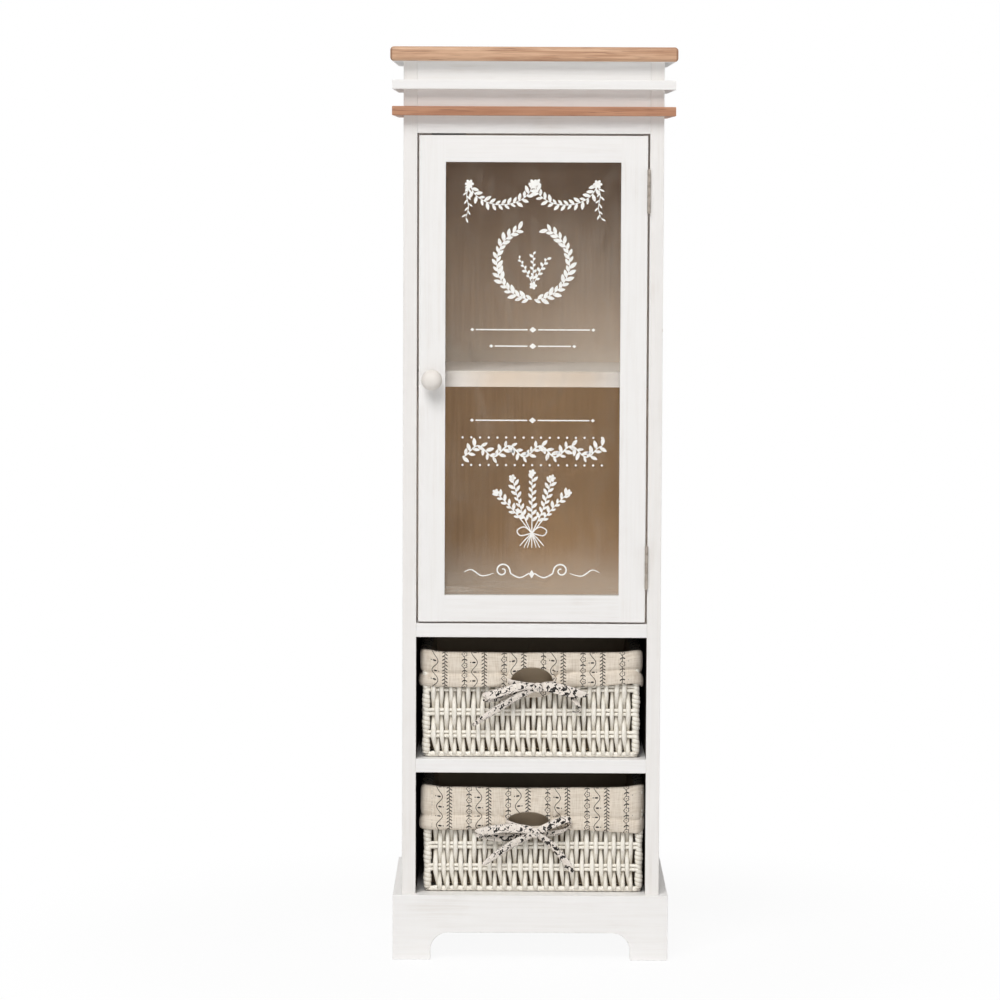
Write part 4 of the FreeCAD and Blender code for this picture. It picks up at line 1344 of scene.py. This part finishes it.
def weaveBasket(name, plan, wallTree, postTree):
    floor, shift, seed = plan["floor"], plan["shift"], plan["seed"]
    half, near, far = plan["halfWide"], plan["near"], plan["far"]
    clear = basketPlan["postClear"]
    holder = meshObject(f"{name}_holder", [(0, 0, 0)], [], wicker)
    middle, halfDeep = (near + far) / 2, (far - near) / 2
    walls = (
        ("front_wall", half, "pairsWide", (shift, near), 0.0, basketPlan["handleHalf"]),
        ("back_wall", half, "pairsWide", (shift, far), math.pi, 0.0),
        ("left_wall", halfDeep, "pairsDeep", (shift - half, middle), -math.pi / 2, 0.0),
        ("right_wall", halfDeep, "pairsDeep", (shift + half, middle), math.pi / 2, 0.0),
    )
    for wall, reach, count, (x, y), turn, handle in walls:
        sizes = (2 * (reach - clear), reach, plan["height"], plan["firstRod"], handle, plan["sill"])
        values = {label: strandSize(label) for label in strandSizes}
        values.update({label: size * mm for label, size in zip(wallSizes, sizes)})
        values.update({"Pairs": basketPlan[count], "Seed": seed, "Finish": wicker})
        seed += 1
        piece = bakeTree(f"{name}_{wall}_woven", holder, wallTree, values, wicker)
        piece.data.transform(Matrix.Translation((x * mm, y * mm, floor * mm)) @ Matrix.Rotation(turn, 4, "Z"))
        mount(piece, name, "wicker", f"{name}_{wall}")
    dropObject(holder)
    corners = [(shift + side * half, y) for side in (-1, 1) for y in (near, far)]
    points = meshObject(f"{name}_corners", [(x * mm, y * mm, floor * mm) for x, y in corners], [], wicker)
    lift = basketPlan["postRadius"] * mm
    values = {
        "Height": plan["height"] * mm - lift, "Lift": lift, "Tier": basketPlan["rodStep"] * mm,
        "First": plan["firstRod"] * mm, "Finish": wicker,
    }
    posts = bakeTree(f"{name}_posts_wrapped", points, postTree, values, wicker)
    dropObject(points)
    mount(posts, name, "wicker", f"{name}_corner_posts")


wallTree, postTree = makeWallTree(), makePostTree()
for name, plan in baskets.items():
    weaveBasket(name, plan, wallTree, postTree)
print("baskets woven")

# Fabric liners: one band of cloth up the inside, over the rim and down into a skirt with a drawstring casing.

linerPlan = {
    "cornerRadius": 3.4, "columns": 440, "cloth": 0.9, "arch": 26.0, "seamRise": 16.0, "bayHalf": 132.9,
    "frontRoom": 11.0, "cornerPeak": 2.4, "bareCorner": 5.6, "sag": 1.2, "gather": 2.4, "folds": (2.64, 1.44),
    "drag": 3.2, "bagWaves": 1.6, "hang": 4.5, "hangReach": 12.0, "bandSteps": 9,
    "floorInset": 13.4, "floorRise": 7.4, "floorWaves": 0.5,
}
linerForms = {
    "upper_basket": {
        "hem": 83.0, "archTop": 106.5, "archFoot": 88.0, "rightLift": 5.0, "middleDrop": 12.0, "seed": 5,
        "archShift": 1.0, "bareRight": 10.2,
    },
    "lower_basket": {
        "hem": 74.5, "archTop": 95.0, "archFoot": 82.0, "rightLift": -5.0, "middleDrop": 8.0, "seed": 17,
        "archShift": -6.0, "bareRight": 7.6,
    },
}


def roundedRing(halfWide, near, far, radius, columns):
    # points and outward directions round the walls' centre line, starting at the middle of the back
    wide, front, back = halfWide - radius, near + radius, far - radius
    deep, bend = back - front, math.pi * radius / 2
    legs = [
        ("line", (0.0, far), (1, 0), (0, 1), wide), ("arc", (wide, back), 90, None, bend),
        ("line", (halfWide, back), (0, -1), (1, 0), deep), ("arc", (wide, front), 0, None, bend),
        ("line", (wide, near), (-1, 0), (0, -1), 2 * wide), ("arc", (-wide, front), -90, None, bend),
        ("line", (-halfWide, front), (0, 1), (-1, 0), deep), ("arc", (-wide, back), -180, None, bend),
        ("line", (-wide, far), (1, 0), (0, 1), wide),
    ]
    total = sum(leg[4] for leg in legs)
    ring = []
    for column in range(columns):
        run = total * column / columns
        for kind, start, heading, outward, length in legs:
            if run <= length:
                break
            run -= length
        if kind == "line":
            ring.append((start[0] + heading[0] * run, start[1] + heading[1] * run, outward[0], outward[1]))
        else:
            turn = math.radians(heading - 90 * run / length)
            outX, outY = math.cos(turn), math.sin(turn)
            ring.append((start[0] + radius * outX, start[1] + radius * outY, outX, outY))
    return ring, total


def linerProfile(hem):
    # distance outwards from the wall's centre line, and height, from the floor of the bag to the hem
    seam = hem + linerPlan["seamRise"]
    return [
        (-14.0, 7.0), (-14.6, 12.0), (-14.2, 30.0), (-13.2, 55.0), (-11.5, 80.0), (-9.2, 100.0), (-7.4, 112.6),
        (-6.0, 119.1), (-4.0, 122.4), (-0.6, 123.5), (3.4, 123.9), (5.9, 123.5), (7.0, 122.0), (7.2, 119.0),
        (7.2, 114.0), (7.2, seam + (112.0 - seam) * 0.5), (7.2, seam + 3.4), (4.9, seam + 0.7), (5.0, seam - 0.8),
        (8.0, seam - 3.8), (8.8, hem + 7.0), (8.9, hem + 3.6), (8.2, hem + 1.0), (7.0, hem), (6.0, hem + 0.8),
        (5.6, hem + 3.5),
    ]


def softNoise(x, y, seed):
    return noise.noise((x, y, seed * 7.31))


def hemLine(form, half, x, front, run):
    droop = form["middleDrop"] * math.exp(-((x - form["archShift"]) / 27) ** 4) * front
    lift = form["rightLift"] * max(0.0, x / half) ** 2 * front
    return form["hem"] + lift - droop + 1.4 * softNoise(run * 0.022, 3.0, form["seed"])


def gathers(form, x, height):  # folds that spread from the two ends of the drawstring
    depth = 0.0
    for side in (-1, 1):
        along = side * (x - form["archShift"]) - linerPlan["arch"] - 1.0
        rise = height - form["archFoot"] - 2.0
        reach = math.hypot(along, rise)
        turn = math.atan2(rise, along)
        fade = math.exp(-reach / 42) * (1 - math.exp(-reach / 5)) * (1.0 if along > -4 else 0.2)
        depth += linerPlan["gather"] * fade * math.sin(turn * 9 + side * 1.3 + form["seed"])
    return depth


def buildLiner(name):
    plan, form = baskets[name], linerForms[name]
    floor, shift, seed = plan["floor"], plan["shift"], form["seed"]
    half, near, far = plan["halfWide"], plan["near"], plan["far"]
    ring, total = roundedRing(half, near, far, linerPlan["cornerRadius"], linerPlan["columns"])
    crest, seamRow = 10, 17  # profile rows on top of the rim and along the casing
    arch, columns = linerPlan["arch"], linerPlan["columns"]
    hole = arch + linerPlan["hangReach"]
    points, uvs, seamPath, outside, inked, band = [], [], [], [], [], []
    rows = len(linerProfile(form["hem"]))
    for column, (x, y, outX, outY) in enumerate(ring):
        front = max(0.0, -outY)
        onFront = front > 0.99
        run = total * column / columns
        hem = hemLine(form, half, x, front, run)
        profile = linerProfile(hem)
        offset = x - form["archShift"]
        inArch = onFront and abs(offset) < arch
        room = linerPlan["bayHalf"] - half - shift * (1 if outX > 0 else -1)
        peak = linerPlan["cornerPeak"] * math.exp(-((half - abs(x)) ** 2 + min(y - near, far - y) ** 2) / 140)
        dip = linerPlan["sag"] * front * (1 - (x / half) ** 2)
        margin = form["bareRight"] if x > 0 else linerPlan["bareCorner"]  # no print round the corners
        bare = half - abs(x) < margin and min(y - near, far - y) < margin
        length = 0.0
        for row, (out, height) in enumerate(profile):
            share = max(0.0, (row - crest) / (rows - 1 - crest))
            if row >= crest - 2:
                height += (peak - dip) * max(0.0, 1 - abs(row - crest) / 6)
                height += softNoise(run * 0.018, row * 0.1, seed + 4) * 0.9
            if row > crest + 1:
                fold = softNoise(run * 0.03, height * 0.02, seed + 1) * linerPlan["folds"][0]
                fold += softNoise(run * 0.085, height * 0.03, seed + 2) * linerPlan["folds"][1]
                drag = softNoise(run * 0.012, height * 0.13, seed + 3) * linerPlan["drag"]
                out += (fold + drag * front) * share
            if row <= crest - 3:
                out += softNoise(run * 0.03, height * 0.03, seed + 6) * linerPlan["bagWaves"]
            if onFront and row > crest + 2:
                out += gathers(form, x, height)
            if onFront and abs(offset) < hole and row < crest - 1:  # the bag hangs back behind the finger hole
                out -= linerPlan["hang"] * (1 - (offset / hole) ** 2)
            if inArch and row > crest + 2:
                bow = math.sqrt(max(0.0, 1 - (offset / arch) ** 2))
                edge = form["archFoot"] + (form["archTop"] - form["archFoot"]) * bow
                top = profile[crest + 2][1]
                step = (row - crest - 2) / (rows - 1 - crest - 2)
                flat = min(1.0, step * 1.25)
                height = top + (edge - top) * flat
                lip = 1.4 * max(0.0, step - 0.8) / 0.2
                out = 6.4 + 1.2 * flat - lip + 0.8 * softNoise(run * 0.05, step * 2, seed + 3)
            out = min(out, room if abs(outX) > 0.5 else linerPlan["frontRoom"])
            points.append(((x + shift + outX * out) * mm, (y + outY * out) * mm, (floor + height) * mm))
            outside.append(1.0 if row >= crest - 2 else 0.0)
            inked.append(0.0 if bare else outside[-1])
            if row:
                length += (Vector(points[-1]) - Vector(points[-2])).length
            uvs.append((run * mm, length))
            if row == seamRow and not inArch:
                seamPath.append((run, Vector(points[-1]) + Vector((outX, outY, 0)) * 0.35 * mm))
        if onFront and abs(offset) < arch + 5:
            band.append((x, run, hem, offset))
    faces = gridFaces(columns, rows)
    last = (columns - 1) * rows
    faces += [(last + row, row, row + 1, last + row + 1) for row in range(rows - 1)]

    # the band of skirt that hangs on under the finger hole, puckered by the drawstring along its top
    first, steps = len(points), linerPlan["bandSteps"]
    for x, run, hem, offset in band:
        top = form["archFoot"] - 1.5 - 2.5 * (1 - min(1.0, (offset / arch) ** 2))
        for step in range(steps + 1):
            share = step / steps
            height = top + (hem - top) * share
            pucker = 0.7 * math.sin(offset * 0.95 + share) * (1 - share)
            out = 6.2 + 2.4 * math.sin(math.pi * (0.1 + 0.8 * share)) + pucker
            out += 0.8 * softNoise(run * 0.1, share * 2, seed + 8)
            points.append(((x + shift) * mm, (near - out) * mm, (floor + height) * mm))
            uvs.append((run * mm, 0.16 + (top - height) * mm))
            outside.append(1.0)
            inked.append(1.0)
    faces += gridFaces(len(band), steps + 1, first)
    mesh = clothMesh(f"{name}_liner_cloth", points, faces, uvs)
    layer = mesh.uv_layers["cloth"]
    for polygon in mesh.polygons:  # close the seam of the cloth's own map
        spread = [layer.data[index].uv[0] for index in polygon.loop_indices]
        if max(spread) - min(spread) > total * mm / 2:
            for index in polygon.loop_indices:
                if layer.data[index].uv[0] < total * mm / 2:
                    layer.data[index].uv[0] += total * mm
    mesh.attributes.new("printed", "FLOAT", "POINT").data.foreach_set("value", outside)
    mesh.attributes.new("inked", "FLOAT", "POINT").data.foreach_set("value", inked)
    piece = finishObject(f"{name}_liner_cloth", mesh, linerCloth)
    thicken(piece, linerPlan["cloth"])
    soften(piece)
    applyModifiers(piece)
    printed, sill = piece.data.attributes["printed"].data, (floor + plan["sill"]) * mm
    shaded = piece.data.attributes.new("shaded", "FLOAT", "POINT").data
    middle = Vector((shift * mm, (near + far) / 2 * mm))
    for vertex in piece.data.vertices:  # the bag's outer face behind the weave is deep in shade
        outward = vertex.normal.xy.dot(vertex.co.xy - middle) > 0
        if printed[vertex.index].value < 0.5 and outward and vertex.co.z < sill:
            shaded[vertex.index].value = 1.0
    mount(piece, name, "liner_fabric", f"{name}_liner")
    profile = linerProfile(form["hem"])
    total * mm
    return seamPath


def buildLinerFloor(name):
    plan = baskets[name]
    inset = linerPlan["floorInset"]
    wide, near, far = plan["halfWide"] - inset, plan["near"] + inset, plan["far"] - inset
    columns, rows = 24, 22
    points, uvs = [], []
    for column in range(columns + 1):
        for row in range(rows + 1):
            x = -wide + 2 * wide * column / columns
            y = near + (far - near) * row / rows
            rise = linerPlan["floorRise"] + linerPlan["floorWaves"] * softNoise(x * 0.03, y * 0.03, plan["seed"])
            points.append(((x + plan["shift"]) * mm, y * mm, (plan["floor"] + rise) * mm))
            uvs.append((x * mm, y * mm))
    mesh = clothMesh(f"{name}_liner_floor", points, gridFaces(columns + 1, rows + 1), uvs)
    piece = finishObject(f"{name}_liner_floor", mesh, linerCloth)
    thicken(piece, linerPlan["cloth"])
    applyModifiers(piece)
    mount(piece, name, "liner_fabric")
    2 * wide * mm
    (far - near) * mm


def makeStitchTree():
    tree, given, result = newShapeTree("stitchTree", [
        ("Spacing", floatSocket, 0.0038), ("Length", floatSocket, 0.0026), ("Radius", floatSocket, 0.00035),
    ])
    tangent = tree.nodes.new("GeometryNodeInputTangent").outputs[0]
    turn = addNode(tree, "FunctionNodeAlignRotationToVector", {"Vector": tangent}, axis="Z").outputs[0]
    blank = addNode(tree, "GeometryNodeMeshUVSphere", {"Segments": 6, "Rings": 4, "Radius": 1.0}).outputs[0]
    size = together(tree, given["Radius"], given["Radius"], given["Length"] / 2.0)
    stitches = scatter(tree, spacedLine(tree, given), blank, rotation=turn, scale=size)
    return closeTree(tree, given, result, stitches)


def sewSeam(name, seamPath, tree):
    points = [point for run, point in seamPath]
    runs = [run for run, point in seamPath]
    longest = 8.0  # the seam is open over the finger hole
    edges = [(index, index + 1) for index in range(len(points) - 1) if runs[index + 1] - runs[index] < longest]
    holder = lineObject(f"{name}_seam", points, edges)
    stitches = bakeTree(f"{name}_casing_stitches", holder, tree, {"Finish": thread}, thread)
    dropObject(holder)
    mount(stitches, name, "liner_fabric")


stitchTree = makeStitchTree()
for name in baskets:
    seamPath = buildLiner(name)
    buildLinerFloor(name)
    sewSeam(name, seamPath, stitchTree)
print("liners ready")

# Drawstring ribbons, tied in a bow at the foot of each finger hole.

ribbonPlan = {
    "thickness": 1.7, "steps": 10, "sides": 12, "plane": -106.6, "backMap": 40.0, "knotRows": 9, "knotSides": 20,
    "knotGirth": 3.6, "knotLength": 40.0, "flatWidth": 10.0,
}
bowForms = {  # each point: across, ahead of the skirt, height over the basket's foot, width, tilt in degrees
    "upper_basket": {
        "left_string": [(-27, -1.5, 90, 6, 10), (-19, 1.0, 88, 7, 10), (-9, 2.4, 86, 8, 0), (2, 3.6, 84, 7, 0)],
        "right_string": [(29, -1.5, 88, 6, -8), (23, 1.0, 87, 7, -8), (16, 2.4, 86, 8, 0), (10, 3.4, 84, 7, 0)],
        "left_loop": [
            (4, 5.0, 85, 8, 10), (-12, 8.6, 85, 10, 20), (-30, 10.0, 80, 11, 25), (-46, 8.8, 75, 11, 20),
            (-53, 5.6, 72, 11, 5), (-46, 2.2, 70, 9, -10), (-28, 1.8, 73, 9, -15), (-10, 2.6, 78, 8, -10),
            (3, 3.6, 81, 7, 0),
        ],
        "right_loop": [
            (12, 5.0, 85, 9, -8), (26, 8.2, 83.5, 12.5, -12), (42, 8.8, 80, 13, -12), (56, 7.4, 77, 10, -8),
            (65, 5.2, 75, 5.5, 0), (56, 3.0, 76, 7, 6), (40, 2.6, 79.5, 8, 6), (24, 3.2, 82, 8, 5),
            (12, 3.6, 83, 7, 0),
        ],
        "left_tail": [
            (4, 5.2, 82, 8, -20), (-14, 7.2, 74, 9, -15), (-34, 6.4, 62, 9, -10), (-52, 5.0, 50, 8, -5),
            (-68, 4.2, 38.5, 3.5, 0),
        ],
        "right_tail": [
            (12, 3.2, 83, 7, 0), (30, 2.4, 81, 8, 0), (45, 2.4, 75, 8, -10), (52, 4.0, 67, 7, -40),
            (57, 6.6, 59, 6, -60), (54, 8.2, 55, 5, -90), (48, 7.4, 56, 4, -110),
        ],
        "knot": (7.5, 6.4, 83.5, 12.0, 12.5),
    },
    "lower_basket": {
        "left_string": [(-32, -1.5, 83, 6, 10), (-24, 1.0, 80, 7, 10), (-12, 2.4, 76, 8, 0), (-1, 3.6, 73, 7, 0)],
        "right_string": [(22, -1.5, 81, 6, -8), (18, 1.0, 79, 7, -8), (12, 2.4, 76, 8, 0), (6, 3.4, 73, 7, 0)],
        "left_loop": [
            (0, 5.0, 74, 9, 10), (-16, 8.6, 77, 11, 20), (-36, 10.0, 77, 11, 15), (-55, 9.0, 74, 11, 5),
            (-65, 5.6, 71, 9, 0), (-56, 2.0, 67, 9, -10), (-38, 1.8, 65, 9, -10), (-16, 2.6, 67, 8, -5),
            (0, 3.6, 70, 7, 0),
        ],
        "right_loop": [
            (6, 5.0, 74, 8, -10), (18, 8.2, 80, 10, -30), (31, 9.4, 86, 10, -35), (41, 7.6, 88, 9, -50),
            (44, 4.6, 82, 9, -90), (37, 2.6, 75, 9, -60), (26, 2.4, 71, 9, -30), (14, 3.0, 70, 8, -10),
            (6, 3.6, 71, 7, 0),
        ],
        "left_tail": [
            (0, 5.2, 70, 9, -25), (-16, 7.0, 63, 10, -20), (-34, 6.0, 52, 10, -15), (-49, 4.8, 41, 8, -10),
            (-59, 4.0, 33, 4, 0),
        ],
        "right_tail": [
            (5, 5.2, 69, 8, 25), (18, 6.6, 61, 9, 25), (30, 5.6, 48, 9, 20), (40, 4.6, 35, 9, 15),
            (46, 4.0, 24.5, 6, 10),
        ],
        "knot": (2.5, 6.4, 71.5, 12.0, 13.0),
    },
}


def ribbonTube(stations):
    # a flattened tube of cloth along smooth stations; each has a centre, a width and a tilt about its own line
    path = smoothPath([station[:3] for station in stations], ribbonPlan["steps"])
    extra = smoothPath([station[3:] for station in stations], ribbonPlan["steps"])
    sides = ribbonPlan["sides"]
    points, uvs, run = [], [], 0.0
    last = len(path) - 1
    for index, centre in enumerate(path):
        ahead = (path[min(index + 1, last)] - path[max(index - 1, 0)]).normalized()
        width, tilt = extra[index][0], math.radians(extra[index][1])
        across = ahead.cross(Vector((0, 1, 0)))
        across = Vector((0, 0, 1)) if across.length < 0.15 else across.normalized()
        if across.z < 0:
            across = -across
        normal = across.cross(ahead).normalized()
        turned = across * math.cos(tilt) + normal * math.sin(tilt)
        lift = normal * math.cos(tilt) - across * math.sin(tilt)
        if index:
            run += (centre - path[index - 1]).length
        for side in range(sides):
            turn = math.tau * side / sides
            flat = math.cos(turn)
            crease = 1.0 + 0.35 * math.sin(flat * 5.0 + run * 0.12)
            thick = math.sin(turn) * ribbonPlan["thickness"] / 2 * crease
            points.append(centre + turned * flat * width / 2 + lift * thick)
            back = ribbonPlan["backMap"] if math.sin(turn) < 0 else 0.0
            uvs.append((run * mm, (flat * width / 2 + back) * mm))
    return points, ringFaces(last + 1, sides, True), uvs, run


def knotShape(centre, wide, high):
    x, ahead, z = centre
    rows, sides, girthHalf = ribbonPlan["knotRows"], ribbonPlan["knotSides"], ribbonPlan["knotGirth"]
    points, uvs = [], []
    for row in range(rows + 1):
        share = row / rows * 2 - 1
        girth = (1 - abs(share) ** 3.2) ** 0.5 if abs(share) < 1 else 0.0
        for side in range(sides):
            turn = math.tau * side / sides
            squash = 1 / (abs(math.cos(turn)) ** 3 + abs(math.sin(turn)) ** 3) ** (1 / 3)
            pleat = 1 + 0.05 * math.sin(turn * 5 + share * 3)
            reach = max(girth, 0.35) * squash * pleat * 0.9
            points.append(Vector((
                x + wide / 2 * share * (0.94 + 0.06 * math.cos(turn)),
                ahead + girthHalf * reach * math.cos(turn),
                z + high / 2 * reach * math.sin(turn),
            )))
            uvs.append((turn * 0.006, share * 0.006 + 0.1))
    return points, ringFaces(rows + 1, sides, True), uvs


def tieBow(name):
    plan, form = baskets[name], bowForms[name]
    points, faces, uvs, length = [], [], [], 0.0

    def keep(made):
        first = len(points)
        points.extend(made[0])
        faces.extend(tuple(first + corner for corner in face) for face in made[1])
        uvs.extend(made[2])

    for part in ("left_string", "right_string", "left_loop", "right_loop", "left_tail", "right_tail"):
        made = ribbonTube(form[part])
        length += made[3]
        keep(made)
    x, ahead, z, wide, high = form["knot"]
    keep(knotShape((x, ahead, z), wide, high))
    shift, plane, floor = plan["shift"], ribbonPlan["plane"], plan["floor"]
    placed = [((point.x + shift) * mm, (plane - point.y) * mm, (floor + point.z) * mm) for point in points]
    mesh = clothMesh(f"{name}_bow_tied", placed, faces, uvs)
    shape = bmesh.new()
    shape.from_mesh(mesh)
    bmesh.ops.recalc_face_normals(shape, faces=shape.faces)
    shape.to_mesh(mesh)
    shape.free()
    piece = finishObject(f"{name}_bow_tied", mesh, bowCloth)
    soften(piece)
    applyModifiers(piece)
    mount(piece, name, "bow_fabric", f"{name}_bow")
    flat = ((length + ribbonPlan["knotLength"]) * mm, ribbonPlan["flatWidth"] * mm)


for name in baskets:
    tieBow(name)
print("bows ready")

# Floor, light and camera.

stage = {"floor": tint(250, 250, 250), "reach": 60.0, "share": 0.93, "near": 0.3, "far": 0.75}


def layFloor():
    reach = stage["reach"]
    corners = [(-reach, -reach, 0), (reach, -reach, 0), (reach, reach, 0), (-reach, reach, 0)]
    material, tree, shader = newMaterial("studio_floor")
    plug(tree, shader, {"Base Color": stage["floor"], "Roughness": 0.9, "Specular IOR Level": 0.1})
    distance = addNode(tree, "ShaderNodeVectorMath", {0: objectPoint(tree)}, operation="LENGTH").outputs["Value"]
    share = rampTo(tree, distance, stage["near"], stage["far"], stage["share"], 1.0)
    glow = addNode(tree, "ShaderNodeEmission", {"Color": (1.0, 1.0, 1.0, 1.0), "Strength": 1.0})
    lit = seenDirectly(tree) * share
    mix = addNode(tree, "ShaderNodeMixShader", {0: lit, 1: shader.outputs[0], 2: glow.outputs[0]})
    output = next(node for node in tree.nodes if node.type == "OUTPUT_MATERIAL")
    tree.links.new(mix.outputs[0], output.inputs[0])
    floor = meshObject("studio_floor", corners, [(0, 1, 2, 3)], material, False)
    floor.data.transform(Matrix.Translation((0, 0, -0.0002)))


lamps = {  # place in metres, aim, size in metres, watts
    "key": ((-3.9, -11.7, 13.55), (0.0, 0.0, 0.5), (9.6, 9.6), 2540.0),
    "fill": ((6.5, -1.6, 4.2), (0.1, 0.0, 0.2), (3.6, 3.6), 75.0),
    "front": ((0.8, -6.5, 0.7), (0.0, 0.0, 0.2), (3.0, 1.4), 18.0),
}


def hangLamps():
    for name, (place, aim, size, power) in lamps.items():
        data = bpy.data.lights.new(name, "AREA")
        data.shape, data.size, data.size_y, data.energy = "RECTANGLE", size[0], size[1], power
        lamp = bpy.data.objects.new(name, data)
        lamp.location = place
        lamp.rotation_euler = (Vector(aim) - Vector(place)).to_track_quat("-Z", "Y").to_euler()
        scene.collection.objects.link(lamp)


skyLight = 0.13


def lightSky():
    world = bpy.data.worlds.new("studio_sky")
    world.use_nodes = True
    tree = world.node_tree
    strength = skyLight + seenDirectly(tree) * (1.0 - skyLight)
    background = tree.nodes["Background"]
    plug(tree, background, {"Color": (1.0, 1.0, 1.0, 1.0), "Strength": strength})
    scene.world = world


view = {"place": (-0.025, -4.87, 0.93), "yaw": 0.00257, "pitch": 0.0823, "roll": 0.00426, "lens": 148.19}


def setCamera():
    yaw, pitch, roll = view["yaw"], view["pitch"], view["roll"]
    right = Vector((math.cos(yaw), math.sin(yaw), 0))
    ahead = Vector((-math.sin(yaw) * math.cos(pitch), math.cos(yaw) * math.cos(pitch), -math.sin(pitch)))
    up = right.cross(ahead)
    across = right * math.cos(roll) + up * math.sin(roll)
    above = up * math.cos(roll) - right * math.sin(roll)
    data = bpy.data.cameras.new("photo_camera")
    data.lens, data.sensor_width, data.clip_end = view["lens"], 36.0, 200.0
    camera = bpy.data.objects.new("photo_camera", data)
    turned = Matrix((across, above, -ahead)).transposed().to_4x4()
    camera.matrix_world = Matrix.Translation(view["place"]) @ turned
    scene.collection.objects.link(camera)
    scene.camera = camera


layFloor()
hangLamps()
lightSky()
setCamera()
print("stage ready")
